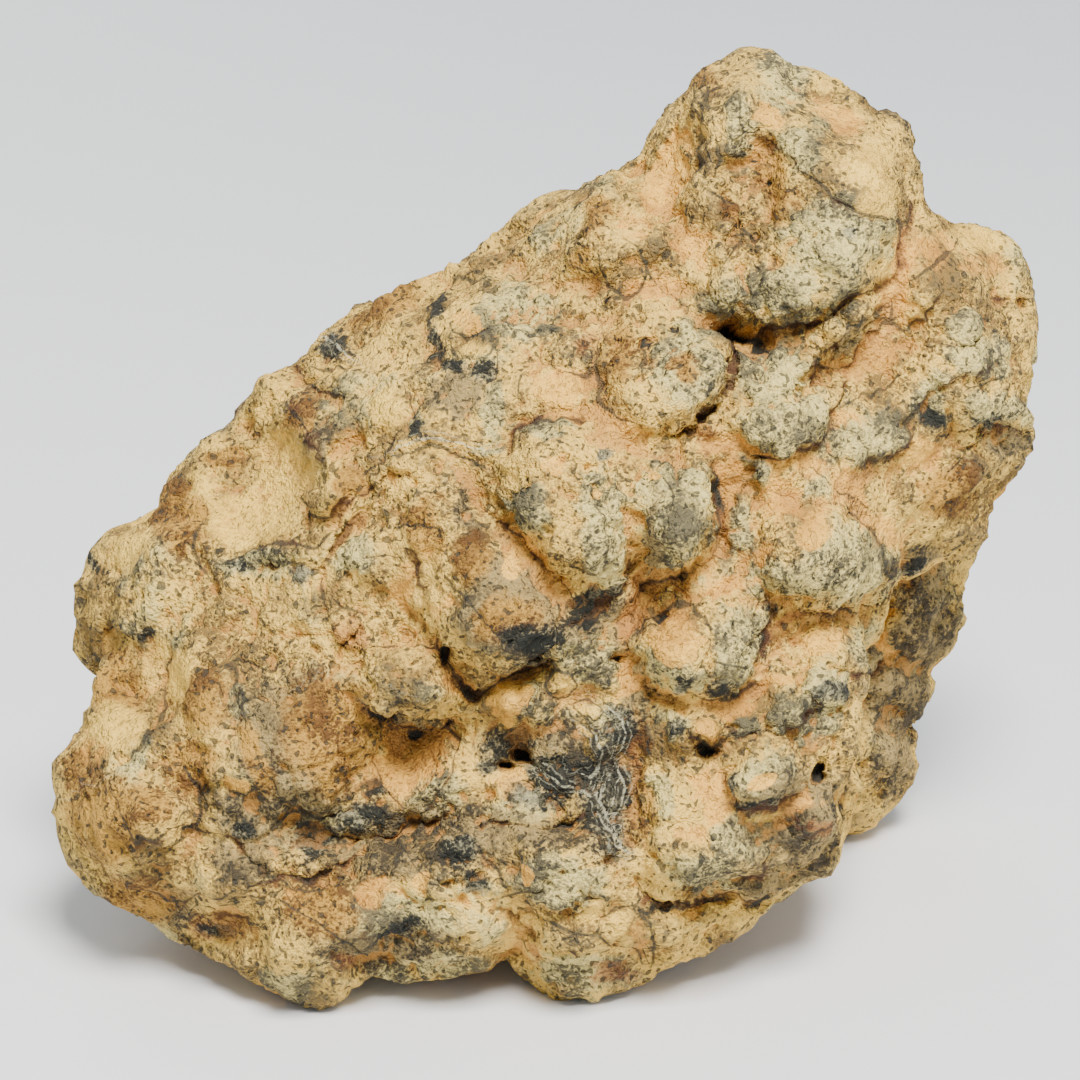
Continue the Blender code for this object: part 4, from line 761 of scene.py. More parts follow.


# The stone's tints, as mineral and dust give them: near-black, grey, brown, rust-red, peach and
# pale, each over ovals of the front; the umber brown over the lower part and the back right is
# partly painted shade. The sides that the front view hides get them by chance.
TINTS = {
    "dust": (
        (12.5, 37.2, 2.6, 4.8, -15), (22.5, 42.4, 2, 1.6), (33, 38.4, 2.6, 2.4),
        (30, 42, 3, 1.4, -20), (11, 25.2, 4, 1.2), (15.4, 30, 1.6, 3, 20), (9, 30.4, 2, 2.4),
        (38.5, 28.2, 3, 2.6, 30), (36.6, 23.6, 2.2, 2, 30), (44, 27.4, 3.2, 1.3),
        (33.6, 18.2, 3.4, 1.3, 25), (31.4, 12.6, 1.8, 1.2), (38, 9, 1.7, 2.2),
        (20, 9.4, 4.4, 1.5, -5), (26, 7.4, 3.6, 1.2), (31.4, 5, 3.2, 1.6, -35),
        (24.4, 4, 1.8, 3.6), (27.6, 0.6, 2.4, 3), (23.4, -1.4, 2.2, 1.2), (19, -4.2, 3, 0.8, 10),
        (18.6, 5, 1.2, 3.6, -10), (34.4, 0.6, 1.6, 2.6, 30), (2, 15.2, 3.6, 2.2),
        (6, 12.2, 5.2, 0.9, -8), (0.6, 7.8, 1.3, 1.1), (-7, 22.2, 1.3, 1.2),
        (-2.4, -2, 1.6, 2.8, -30), (-2.6, -15.8, 2.9, 2.2), (-3.4, -24.8, 2, 1.3),
        (14.2, -9.4, 2, 3.2, 15), (28.2, -10, 2.4, 1.6, 25), (24, -14.4, 2, 1.1, 20),
        (19.4, -16.8, 2.2, 1.2, 10), (12.4, -15.4, 1, 0.6), (22.1, -24, 1.4, 1.3),
        (16.6, -18.8, 1.5, 1.2), (27.6, -20, 1.5, 1, 20), (13.4, -30.2, 3.6, 1.6, 15),
        (17.2, -26, 1.7, 4, 10), (8.2, -14, 1.6, 1.8), (-10.2, -6.4, 1.2, 1.8),
        (-13.6, -4, 2.2, 2.4), (-14.4, -23, 3, 3.8, -10), (-10.6, -22.6, 2.2, 3.4),
        (-8.4, -14.8, 1.6, 1.2, 30), (-11.4, -34, 0.8, 1.1, -20), (-1.4, -33.6, 1, 1.3),
        (10.2, -39.4, 1.4, 2), (-8, -38.2, 1.8, 0.9, 15), (15, -37.6, 2, 1),
        (4.2, -29.8, 1.6, 0.8, -30), (-16.4, -34.8, 1.8, 2), (27, -27.6, 2, 1.6, 20),
        (-44, -20, 2.6, 2.6), (-24.6, -36, 2.6, 1.2), (34.6, -9, 1, 2.4),
    ),
    "ochre": (
        (-43, -27.6, 4.6, 5), (-38.6, -26.6, 3, 2.4), (-42, -14.6, 2.6, 4.4), (-46, -23, 2.4, 2.4),
        (-24.4, 11.4, 1.3, 4, -25), (-19, 6, 1.6, 2.4), (-31.6, 8.4, 2.4, 1.5), (-37, 3, 3, 6, 40),
        (-21.6, -23.4, 1.3, 1.3), (-28.4, -21.6, 1.4, 4, 25), (-11.4, 0.6, 2.4, 3.6, 15),
        (-7, -2, 2.2, 3, -20), (8, 19, 1.9, 3.8), (14.8, 17.6, 1.8, 2), (19, 32.4, 1.2, 2.6, 25),
        (23.4, 35.8, 1.8, 4.4, 15), (5.4, 32.4, 1.5, 3), (4.4, 27.6, 1.5, 1.3),
        (9.2, -7.6, 1.4, 4.6), (24.2, -8.8, 1.3, 3.2, -30), (10, -23.6, 1, 8), (18.6, 2, 0.9, 4),
        (-33.8, -16, 3, 3.6), (-34.4, -22.6, 3, 3), (-21, -19, 5.4, 6.4), (-40, -36, 4.4, 3),
        (-3.4, -7.6, 3.6, 2.4, 15), (-22, -36.6, 5, 3.6), (-16, 23.6, 5, 2.4, 35),
        (16.6, -18.6, 1.6, 1.3), (16.2, 47, 2.2, 2.6, 40), (40.8, 5, 3.4, 2.4, 40),
    ),
    "rust": (
        (-19, -9.4, 1.7, 2.2, 20), (-14.4, -20.2, 1.5, 1.8), (-32.4, -39, 3.2, 1.6, -10),
        (-43, -32.8, 1.2, 0.9), (27.6, -28.6, 1.1, 0.8, -20), (16, 11.2, 1.8, 0.6),
        (31.6, 18.6, 4.6, 0.9, 42), (-19, -42.4, 2.6, 1.1), (-0.6, -41, 1, 1.1),
        (7, -43.2, 3, 0.9), (4.4, 19.4, 1.1, 1.8, -20), (-0.6, 18.4, 1.1, 0.4),
        (9.2, -7.6, 1.6, 4), (10.6, -35.8, 1, 0.8), (24.6, -7.8, 0.8, 2.2, -35),
        (36.8, 30, 0.6, 4.6), (9.6, -22, 0.6, 5), (18.4, 1.6, 0.5, 4),
    ),
    "grey": (
        (30, 30.4, 6.2, 4.4, 10), (23.6, 25.4, 5, 3, 10), (20, 40, 1.6, 4.6, 5),
        (25.6, 38.8, 2.8, 1.8, -30), (24.4, 46, 2.6, 3.4), (18, 23.4, 2.4, 1.4, -10),
        (14.4, 18, 3.8, 5), (23, 16.4, 3.8, 4), (25, 12, 4.6, 2.8, 10), (32.4, 10.4, 4.4, 3.4),
        (39, 14.4, 1.6, 2.6, -15), (44, 18, 3.6, 2), (46, 12.8, 3.2, 1.6),
        (42.4, 21.6, 1.8, 2.4, -15), (13, 3, 4.4, 5.6), (22, 6.4, 1.2, 1.4), (19.9, 1.2, 1.9, 2.8),
        (27.6, 5.2, 1.7, 1.2), (31.4, -2.4, 4.2, 4.4, 10), (6.6, 1, 3, 6.4, 10),
        (-1, 2.6, 1.8, 2.8, 25), (1, 11.4, 4, 0.8, 5), (5, -11.4, 3.4, 3.2), (7, -18.6, 2.8, 2.4),
        (20, -10.6, 3.4, 4.6), (14.6, -14.4, 3, 1.2, -5), (21.6, -3.8, 3.2, 2),
        (16.6, -4.4, 2.4, 0.8, 8), (32.4, -10.4, 1.8, 3), (28.2, -14.6, 2.2, 2),
        (24.6, -17.4, 2.2, 1.5, 25), (20.8, -18.6, 1.6, 1.4), (13, -18.4, 1.6, 2),
        (22.4, -24.2, 3.2, 2.9), (12.2, -25.2, 1.5, 2.4), (21.4, -29.4, 4.8, 2.6),
        (16.4, -33.4, 4.4, 1.8, -10), (27, -17.6, 3, 2.6), (-4.6, 12.6, 1.4, 3.4, 10),
        (-12, 11.6, 1.1, 2), (-5, 9.2, 1.6, 1), (-28.4, -2.6, 4.2, 1.4), (-30, -17, 1.2, 3, 8),
        (-22, -28.6, 4, 3), (-10.2, -25.6, 3.4, 2.6), (-2, -26.6, 4.4, 1.6), (1.6, -34, 5.4, 2.6),
        (-14, -38, 6, 2.8), (-11, -42.4, 5.6, 1.6), (-26, -44.8, 3.8, 1.4),
        (-41, -22.6, 1.4, 3.4, -35), (-20.6, -15, 3.4, 2.4), (-2, 22.4, 4.4, 3.4),
        (-18.6, -1, 2.6, 2.4), (-4, -9.4, 4, 2, -20), (4, -43, 6, 1.6),
    ),
    "dark": (
        (6.4, -26, 3.6, 6.8, 8), (2.4, -23.6, 4.2, 2.2, -10), (8.2, -18.6, 2.2, 2.4),
        (-3.6, -20.4, 3.2, 2.2), (-5, -22.6, 1.4, 1.4), (-0.8, -25.6, 3, 1.2, -10),
        (5, -6, 3.6, 1.5, 25), (-0.6, -9.6, 3.6, 1.4, -10), (3.4, -8.2, 1.8, 0.7),
        (22.6, -9.4, 0.6, 3.4), (22.4, -7, 1.2, 0.8), (14, -14.6, 1.2, 0.8, 20),
        (18.4, -15.2, 1.6, 0.6, 15), (28.6, -15.4, 1.8, 1, 20), (29.6, -27.2, 0.6, 1.2, 15),
        (21, -26.6, 2.6, 0.5), (19.4, -24.8, 0.6, 1.8), (6.4, 8.6, 1.1, 0.6, 25),
        (-9.9, 22.8, 1.1, 2.2, -15), (-10.7, 19.4, 0.9, 2.6), (-9, 16.8, 1.6, 0.9, -40),
        (-5.8, 16.4, 1.6, 1.1), (-11.8, 11.2, 0.9, 1.6, 15), (-20.6, 19.3, 2.2, 1.7),
        (-29.4, -2.4, 1.6, 0.9), (-24, -3.4, 1.3, 0.9), (-39.2, -9.2, 1.4, 0.6, 25),
        (-34.4, -29, 1, 0.8), (-29.8, -29.4, 1.1, 0.8), (-22.6, -30, 2.2, 2.2),
        (-18, -27.6, 3.2, 1.4), (-8.4, -31.4, 2.4, 1.8, 10), (-16.6, -25, 1.2, 1.4),
        (-6.4, -34.4, 1.8, 1.6), (-16, -17.4, 2.6, 0.7, -15), (-32.4, -39.2, 2, 0.8, -10),
        (13.2, -36.8, 2.6, 0.7), (37.6, -2.6, 1.8, 1), (17, 8.4, 0.4, 0.4),
        (13.2, -18.6, 0.8, 1.2, 15), (44.8, 11.4, 2.2, 0.7), (39, 13, 1, 1.2),
        (-44.4, -2.4, 1.6, 0.5, -35), (-14, -38.4, 2.4, 0.7), (31, 30.8, 1.2, 0.9),
    ),
    # Umber over the lower part, whose faces turn down, and over the back right is partly painted
    # shade.
    "umber_and_shade": (
        (38.6, -4, 3.6, 3.6), (36.4, -30, 3, 4), (-3.4, -6.6, 6, 6.6, 30), (-30, -32, 4, 2.6, -20),
        (26, -28, 7, 6), (2, -22, 6, 5), (35, -15, 4, 7), (-24.4, -21, 7, 9, 15),
        (-12, -30, 14, 4.4, 5), (-28, -28, 5, 4), (38, -12, 4, 10, -10), (9.6, -18, 1.6, 10),
        (24, -34, 7, 2.4), (0, -29.6, 6, 1.6), (4, -8.6, 6, 1.8, 20), (-14, -17.6, 5, 1.6, -8),
        (-16, -40.4, 8, 2.4), (11, -0.6, 1, 6), (18.8, 1, 1.2, 5), (9.2, -9, 2, 4),
        (-38.6, -36, 5, 3, -30), (41, 5.6, 3.4, 1.8, 45), (46.6, 9.6, 3.6, 1.6),
        (-8.4, 14.4, 3.4, 2), (31, 20.4, 5.4, 1, 38), (36, -22, 3, 6), (-22.6, 9.4, 1.4, 4.4, -20),
        (-7.4, 3, 1.2, 6, 20), (-1.4, -1.4, 1, 3.6, 40),
    ),
    "clast": (
        (13.6, -10.4, 2.4, 3.2, 10), (0.7, 7.4, 1.3, 1.2), (8.3, -13.4, 1, 1),
        (-3.2, -16, 2.8, 2.1), (-2.6, -24.4, 1.8, 1.2), (22, -23.8, 1.3, 1.2),
        (28.4, -10, 2.3, 1.5, 25), (27, 0.4, 2, 2.6), (16.4, -18.6, 1.5, 1.2),
        (11.4, 5.9, 0.8, 0.7), (-6.8, 22, 1.4, 1.3), (-11.4, -34, 0.8, 1.1, -20),
        (-1.4, -33.6, 1, 1.3), (32.6, 17.4, 1.6, 0.8, 25), (38, 9, 1.6, 2), (23, 42.4, 1.8, 1.4),
        (12.6, 36.6, 2, 4, -15), (-2.4, -2.4, 1.3, 2.2, -30), (2, 15, 3, 1.6),
        (-30.4, -24.6, 1.4, 1.2), (24.4, -14.4, 1.4, 0.8, 20), (6, 4.2, 0.7, 0.6),
    ),
    "pale": (
        (-29, 2, 5.4, 3.2, 5), (-25.6, 7, 3.4, 3.8), (-34, 5, 0.9, 2.1, 15),
        (-42.9, -10.3, 1.2, 1.5), (-38.6, -11.6, 1.4, 2.4, -15), (-42, -19, 2.8, 2.2),
        (-41, -1, 3, 1.6, 30), (-10.6, 9.2, 4.4, 0.6, 4), (-15.4, 12.6, 1.8, 2.8),
        (8, -38.2, 1.6, 1.5, 30), (4.8, -37.3, 1.7, 1.2, 20), (2.4, -14.6, 1.3, 1.3),
        (4.8, -17.4, 1.4, 0.8, -35), (-6.6, 18.8, 1.8, 1.1), (31, -26.8, 0.9, 0.9),
        (-26.5, -13.7, 0.5, 0.5), (33, 38, 2.6, 2.8), (33.6, 34.4, 2.4, 2.6),
        (44, 30, 3.4, 1.8, -10), (-36, -13.6, 1.4, 3, -10), (5, -20.8, 0.5, 2.6, 25),
        (22.6, -27.8, 1.6, 0.5), (-21.4, 16.8, 1.6, 0.8, -15), (-19.2, 20.2, 0.7, 0.9),
    ),
}
TINT_RIM = (0.45, 1.35)
TINT_WANDER = 2.0
CHANCE_SIZE = 11.0
CHANCE_LAYERS = 3
CHANCE_EDGES = (0.05, 0.75)
CHANCE_SHARES = {"grey": 0.6, "umber_and_shade": 0.3}
HIDDEN_SHARES = {"dark": 0.5, "rust": 0.4, "ochre": 0.5, "umber_and_shade": 0.7}


def rugged(places, size, layers, pattern):
    """Hills of halving size and height, added up."""
    return sum(
        hills(places, size / 2**layer, pattern + layer) / 2**layer for layer in range(layers)
    )


across = true_across + TINT_WANDER * drift[0]
up = true_up + TINT_WANDER * drift[1]
tints = {}
for number, (name, ovals) in enumerate(TINTS.items()):
    by_hand = np.zeros(len(skin))
    for place in ovals:
        by_hand = np.maximum(by_hand, covered_by(across, up, place, TINT_RIM))
    pattern = PATTERNS["tints"] + CHANCE_LAYERS * number
    chance = rugged(skin, CHANCE_SIZE, CHANCE_LAYERS, pattern)
    by_chance = smoothstep(*CHANCE_EDGES, chance)
    by_hand = np.maximum(by_hand, CHANCE_SHARES.get(name, 0.0) * by_chance)
    tints[name] = front * by_hand + (1.0 - front) * by_chance
for name, share in HIDDEN_SHARES.items():
    tints[name] *= share + (1.0 - share) * front


# The broken grain of the whole stone: clasts a few millimetres across set in a finer matrix,
# thin flakes, and rough ground, made of rock and mineral pieces welded together.
GROUND_SIZE = 5.0
GROUND_LAYERS = 4
GROUND_HEIGHT = 0.46
CREASE_SIZE = 2.8
CREASE_LAYERS = 3
CREASE_HEIGHT = 0.42
CREASE_LEVEL = 0.3
# Clasts: pattern, spacing, height, and the width and depth of the seams between them.
CLASTS = (
    ("coarse_clasts", 6.0, 0.6, 0.45, 0.3),
    ("middling_clasts", 2.6, 0.25, 0.34, 0.2),
    ("fine_clasts", 1.3, 0.1, 0.22, 0.1),
)
CLAST_WANDER = (2.2, 0.5)
CLAST_LOTS = (-0.2, 1.4)
CLAST_PATCH_SHARE = 2.5
CLAST_PATCH_STEP = 10
CLAST_PATCH = (-0.4, 0.4)
FLAKE_PITCH = 1.4
FLAKE_LEAN = np.array((0.35, -0.25, 0.9))
FLAKE_HEIGHT = 0.4
FLAKE_LEVEL = 0.33
FLAKE_BEND = (7.0, 2)
FLAKE_BEND_SHARE = 0.8
FLAKY_SIZE = 9.0
FLAKY = (0.0, 0.5)
PIT_SPACING = 2.0
PIT_DEPTH = 0.4
PIT_LEAST_LOT = 0.45
PIT_SIZES = (0.35, 0.3)
PIT_RIM = (0.6, 1.3)
BARE_RELIEF = 1.35
DUSTY_RELIEF = 0.6


def shaken(places, size, shift, pattern):
    """Places moved about by hills of a size, by up to about the shift along each axis."""
    moves = [shift * hills(places, size, pattern + axis) for axis in range(3)]
    return places + np.stack(moves, axis=1)


def scattered(places, spacing, pattern):
    """Gaps to the nearest and second nearest of scattered middles, and the nearest one's lot.

    Each cube of a lattice holds one middle at a place drawn by lot; the 27 cubes around a place
    are searched.
    """
    spots = places / spacing
    whole = np.floor(spots)
    nearest = np.full(len(places), np.inf)
    second = np.full(len(places), np.inf)
    lot = np.zeros(len(places))
    for step in np.ndindex(3, 3, 3):
        cube = whole + step - 1.0
        middle = cube + np.stack([lots(cube, pattern * 5 + axis) for axis in range(3)], axis=1)
        gap = np.linalg.norm(spots - middle, axis=1)
        second = np.minimum(second, np.maximum(nearest, gap))
        lot = np.where(gap < nearest, lots(cube, pattern * 5 + 3), lot)
        nearest = np.minimum(nearest, gap)
    return nearest * spacing, second * spacing, lot


def pitted(places, spacing, pattern, least_lot, sizes, rim):
    """1 inside scattered round pits and 0 between them.

    A middle has a pit where its lot is above the least one, sizes[0] + sizes[1] * lot in size.
    """
    nearest, _, lot = scattered(places, spacing, pattern)
    return (lot > least_lot) * (1.0 - smoothstep(*rim, nearest / (sizes[0] + sizes[1] * lot)))


loose = shaken(skin, *CLAST_WANDER, PATTERNS["clast_wander"])
relief = GROUND_HEIGHT * rugged(skin, GROUND_SIZE, GROUND_LAYERS, PATTERNS["ground"])
for layer in range(CREASE_LAYERS):
    fold = np.abs(hills(loose, CREASE_SIZE / 2**layer, PATTERNS["creases"] + layer))
    relief += CREASE_HEIGHT / 2**layer * (fold - CREASE_LEVEL)
for pattern, spacing, height, seam_width, seam_depth in CLASTS:
    nearest, second, lot = scattered(loose, spacing, PATTERNS[pattern])
    patch = hills(skin, spacing * CLAST_PATCH_SHARE, PATTERNS[pattern] + CLAST_PATCH_STEP)
    bulge = height * (lot * CLAST_LOTS[1] + CLAST_LOTS[0]) * (1.0 - (nearest / spacing) ** 2)
    line = groove(second - nearest, seam_width)
    relief += smoothstep(*CLAST_PATCH, patch) * (bulge - seam_depth * line)
layer = loose @ FLAKE_LEAN / FLAKE_PITCH
layer += FLAKE_BEND_SHARE * rugged(skin, *FLAKE_BEND, PATTERNS["layers"])
step = layer - np.floor(layer)
flaky = smoothstep(*FLAKY, hills(skin, FLAKY_SIZE, PATTERNS["flaky"]))
relief += flaky * FLAKE_HEIGHT * (step**2 - FLAKE_LEVEL)
pit = pitted(loose, PIT_SPACING, PATTERNS["pits"], PIT_LEAST_LOT, PIT_SIZES, PIT_RIM)
relief -= PIT_DEPTH * pit
dusty = np.maximum(tints["dust"], tints["pale"])
relief *= BARE_RELIEF + (DUSTY_RELIEF - BARE_RELIEF) * dusty


# The sides that the front view hides have rounded lumps, seams and burrows of the same kind as
# the front's, scattered by chance. They fade out at the foot, which rests on the table.
HIDDEN_WANDER = (4.5, 1.4)
HIDDEN_LUMP_SPACING = 7.0
HIDDEN_LUMP_HEIGHT = 1.6
HIDDEN_LUMP_CROWN = 0.65
HIDDEN_SEAM_WIDTH = 0.5
HIDDEN_SEAM_DEPTH = 1.0
HIDDEN_SEAM_SIZE = 9.0
HIDDEN_SEAM_PATCH = (-0.5, 0.3)
BURROW_SPACING = 7.5
BURROW_DEPTH = 2.0
BURROW_LEAST_LOT = 0.55
BURROW_SIZES = (0.4, 0.7)
BURROW_RIM = (0.7, 1.3)
HIDDEN_FACING = (-0.5, 0.0)
FOOT_HEIGHT = 4.0

bent = shaken(skin, *HIDDEN_WANDER, PATTERNS["hidden_wander"])
nearest, second, lot = scattered(bent, HIDDEN_LUMP_SPACING, PATTERNS["hidden_lumps"])
bulge = HIDDEN_LUMP_HEIGHT * lot * (HIDDEN_LUMP_CROWN - (nearest / HIDDEN_LUMP_SPACING) ** 2)
seam_patch = hills(skin, HIDDEN_SEAM_SIZE, PATTERNS["hidden_seams"])
seam = groove(second - nearest, HIDDEN_SEAM_WIDTH) * smoothstep(*HIDDEN_SEAM_PATCH, seam_patch)
burrow = pitted(
    bent, BURROW_SPACING, PATTERNS["burrows"], BURROW_LEAST_LOT, BURROW_SIZES, BURROW_RIM
)
hidden = 1.0 - smoothstep(*HIDDEN_FACING, normals @ TOWARDS)
hidden = hidden * smoothstep(0.0, FOOT_HEIGHT, skin[:, 2])
relief += hidden * (bulge - np.maximum(HIDDEN_SEAM_DEPTH * seam, BURROW_DEPTH * burrow))
worked = worked + relief[:, None] * normals_of(worked, skin_faces)
worked = np.clip(worked, *(np.array(corner) / MM for corner in solid_box))


# The traits that the skin's points carry for its material: the tints, how deep a place lies, how
# near it is to a crack or a streak, where painted shade goes, and the broad clouds and thin threads
# of the breccia.
NEAR_ROUNDS = 4
BROAD_ROUNDS = 40
HOLLOW_SHARES = (0.9, 0.45)
MIDDLING = 0.5
CLOUDS = (5.0, 3)
CLOUD_SHARE = 0.35
THREADS = {"thread": 2.6, "thread_small": 1.5}
VEINED_CLOUDS = (8.0, 2)
VEINED = (-0.3, 0.5)
SEAM_SHADE = 0.8
HOLLOW_SHADE = 0.5
SHADED_HOLLOW = (0.4, 1.2)
LINE_FRONT = 0.2
LINE_REACH = 3.0


def line_trait(gap):
    """A distance from the front's lines, kept short, and at its most off the front."""
    return np.where(front > LINE_FRONT, np.clip(gap, -LINE_REACH, LINE_REACH), LINE_REACH)


near_hollow = hollowness(worked, NEAR_ROUNDS)
broad_hollow = hollowness(worked, BROAD_ROUNDS)
hollow = MIDDLING + HOLLOW_SHARES[0] * near_hollow + HOLLOW_SHARES[1] * broad_hollow
# Off the front, broad hollows and the seams get painted shade, through the crevice trait.
hidden_shade = HOLLOW_SHADE * smoothstep(*SHADED_HOLLOW, broad_hollow)
hidden_shade = np.maximum(SEAM_SHADE * seam, hidden_shade)
traits = {
    **tints,
    **{name: hills(loose, size, PATTERNS[name]) for name, size in THREADS.items()},
    "broad": MIDDLING + CLOUD_SHARE * rugged(skin, *CLOUDS, PATTERNS["broad"]),
    "veined": smoothstep(*VEINED, rugged(skin, *VEINED_CLOUDS, PATTERNS["veined"])),
    # Painted shade for crevices and holes on the front, and for hollows and seams off it.
    "crevice": np.maximum(front * np.maximum(crevice, hole), (1.0 - front) * hidden_shade),
    "hollow": np.clip(hollow, 0.0, 1.0),
    "line_side": line_trait(line_gap),
    "streak_side": line_trait(streak_gap),
    # Holes, deep slits and the hidden burrows carry near-black painted shade.
    "hole": np.maximum(front * np.maximum(hole, slit), hidden * burrow),
}

stone_mesh = mesh_of("stone_skin", worked, skin_faces)
stone_mesh.shade_smooth()
for name, values in traits.items():
    carried = stone_mesh.attributes.new(name, "FLOAT", "POINT")
    carried.data.foreach_set("value", values.astype(np.float32))


# The stone's surface: dull cream and grey breccia, salted with dark grains and pores, with dust
# in its lows, dark melt in its cracks, and painted shade in its hollows, crevices and holes. Every
# pattern reads the skin's own traits and places.
class Flow:
    """A value, colour or direction that flows out of one socket of the material's nodes."""

    def __init__(self, tree, socket=None):
        self.tree = tree
        self.socket = socket

    def node(self, kind, settings=None, inputs=None, output=0):
        """A new node of a kind, with its settings made first and then its sockets fed."""
        node = self.tree.nodes.new(kind)
        for name, value in (settings or {}).items():
            setattr(node, name, value)
        for name, value in (inputs or {}).items():
            if isinstance(value, Flow):
                self.tree.links.new(value.socket, node.inputs[name])
            else:
                node.inputs[name].default_value = value
        return Flow(self.tree, None if output is None else node.outputs[output])

    def maths(self, operation, *values):
        """A maths node fed with the values in their order."""
        return self.node("ShaderNodeMath", {"operation": operation}, dict(enumerate(values)))

    def __add__(self, other):
        return self.maths("ADD", self, other)

    __radd__ = __add__

    def __sub__(self, other):
        return self.maths("SUBTRACT", self, other)

    def __rsub__(self, other):
        return self.maths("SUBTRACT", other, self)

    def __mul__(self, other):
        return self.maths("MULTIPLY", self, other)

    __rmul__ = __mul__

    def __abs__(self):
        return self.maths("ABSOLUTE", self)

    def cosine(self):
        return self.maths("COSINE", self)

    def most(self, other):
        return self.maths("MAXIMUM", self, other)

    def ramp(self, low, high):
        """0 below low, 1 above high, and an S-curve between them."""
        return self.node(
            "ShaderNodeMapRange",
            {"interpolation_type": "SMOOTHSTEP"},
            {"Value": self, "From Min": low, "From Max": high},
        )

    def toward(self, other, share):
        """A colour mixed with another by a share from 0 to 1."""
        return self.node("ShaderNodeMix", {"data_type": "RGBA"}, {0: share, 6: self, 7: other}, 2)


# Each ground has a light and a dark side, which its grains are mixed from.
GROUNDS = {
    "base": ((0.80, 0.505, 0.10, 1.0), (0.22, 0.132, 0.036, 1.0)),
    "grey": ((0.66, 0.53, 0.18, 1.0), (0.115, 0.098, 0.052, 1.0)),
    "umber_and_shade": ((0.30, 0.212, 0.08, 1.0), (0.052, 0.040, 0.023, 1.0)),
    "dust": ((0.84, 0.435, 0.073, 1.0), (0.54, 0.25, 0.042, 1.0)),
    "ochre": ((0.48, 0.255, 0.042, 1.0), (0.13, 0.058, 0.014, 1.0)),
    "pale": ((0.92, 0.585, 0.105, 1.0), (0.66, 0.40, 0.07, 1.0)),
    "rust": ((0.44, 0.18, 0.045, 1.0), (0.13, 0.045, 0.015, 1.0)),
    "clast": ((0.90, 0.50, 0.08, 1.0), (0.62, 0.31, 0.05, 1.0)),
    "dark": ((0.31, 0.275, 0.155, 1.0), (0.017, 0.018, 0.014, 1.0)),
}
# How a ground spreads: its trait's weight, what else moves its edge, the ends of that edge, and
# the most that it covers of the ground before it.
SPREADS = {
    "grey": (1.0, {"jag": 1.2, "hollow": -0.6, "broad": 0.4}, (0.15, 0.9), 0.96),
    "umber_and_shade": (1.0, {"jag": 1.2, "speck": 0.4}, (0.1, 0.95), 0.96),
    "ochre": (1.0, {"jag": 0.8}, (0.15, 0.95), 0.96),
    "dust": (0.8, {"hollow": 1.3, "jag": 0.7}, (0.2, 0.9), 0.96),
    "pale": (1.0, {"jag": 0.6}, (0.2, 0.9), 0.96),
    "rust": (1.0, {"jag": 1.0}, (0.2, 1.1), 0.77),
    "clast": (1.0, {"jag": 0.7}, (0.45, 0.65), 0.96),
    "dark": (1.4, {"jag": 1.5, "speck": 0.7}, (0.25, 1.3), 0.96),
}
MILK = (0.66, 0.62, 0.42, 1.0)
PEPPER = (0.042, 0.038, 0.026, 1.0)
# Dark brown painted shade for crevices, and brown for the deepest hollows, partly dust and partly
# painted shade.
CREVICE_SHADE_TONE = (0.075, 0.030, 0.014, 1.0)
HOLLOW_DUST_AND_SHADE = (0.42, 0.205, 0.055, 1.0)
ROUGHNESS = 0.92
GLOSS = 0.25
# Noises: the size of their grains in millimetres, detail and roughness.
MIDDLING_GRAIN = (0.9, 2.0, 0.7)
FINE_GRAIN = (0.3, 1.0, 0.6)
PORE_GRAIN = (0.55, 0.0, 0.6)
WIDE_PORE_GRAIN = (1.1, 0.0, 0.6)

material = bpy.data.materials.new("breccia")
material.use_nodes = True
tree = material.node_tree
tree.nodes.clear()
flow = Flow(tree)
coordinates = flow.node("ShaderNodeTexCoord", output="Object")
spot = flow.node("ShaderNodeVectorMath", {"operation": "SCALE"}, {0: coordinates, "Scale": 1.0 / MM})


def grain(size, detail, roughness):
    """Cloudy noise with grains of a size in millimetres, from 0 to 1 around 0.5."""
    settings = {"Vector": spot, "Scale": 1.0 / size, "Detail": detail, "Roughness": roughness}
    return flow.node("ShaderNodeTexNoise", inputs=settings)


def trait(name):
    """One of the traits that the skin's points carry."""
    return flow.node("ShaderNodeAttribute", {"attribute_name": name}, output="Fac")


def blend(start, weights):
    """A start with the weighted patterns added to it."""
    for name, weight in weights.items():
        start = start + patterns[name] * weight
    return start


middling = grain(*MIDDLING_GRAIN)
fine = grain(*FINE_GRAIN)
patterns = {
    "jag": middling - 0.5,
    "speck": fine - 0.5,
    "hollow": trait("hollow") - 0.5,
    "broad": trait("broad") - 0.5,
}
shares = {
    name: blend(trait(name) * weight, weights).ramp(*edge)
    for name, (weight, weights, edge, _) in SPREADS.items()
}

# The grit that turns each ground from its light side to its dark one. It is finer and weaker on
# dust, pale ground and clasts.
GRIT = {"jag": 1.7, "speck": 1.2}
GRIT_CLOUDS = {"broad": 1.4}
DARK_GRIT = 0.32
SMOOTH_CALM = 0.45
VEINED_COARSE = (0.55, 0.6)
GRIT_LEVEL = 0.46
GRIT_EDGE = (0.15, 0.85)

smooth = shares["dust"].most(shares["pale"]).most(shares["clast"])
coarse = trait("veined") * VEINED_COARSE[1] + VEINED_COARSE[0]
grit = blend(0.0, GRIT) * (1.0 - smooth * SMOOTH_CALM) * coarse
grit = blend(grit, GRIT_CLOUDS) + GRIT_LEVEL + shares["dark"] * DARK_GRIT
sides = []
for side in range(2):
    tone = flow.node("ShaderNodeRGB")
    tone.socket.default_value = GROUNDS["base"][side]
    for name, share in shares.items():
        tone = tone.toward(GROUNDS[name][side], share * SPREADS[name][-1])
    sides.append(tone)
tone = sides[0].toward(sides[1], grit.ramp(*GRIT_EDGE))
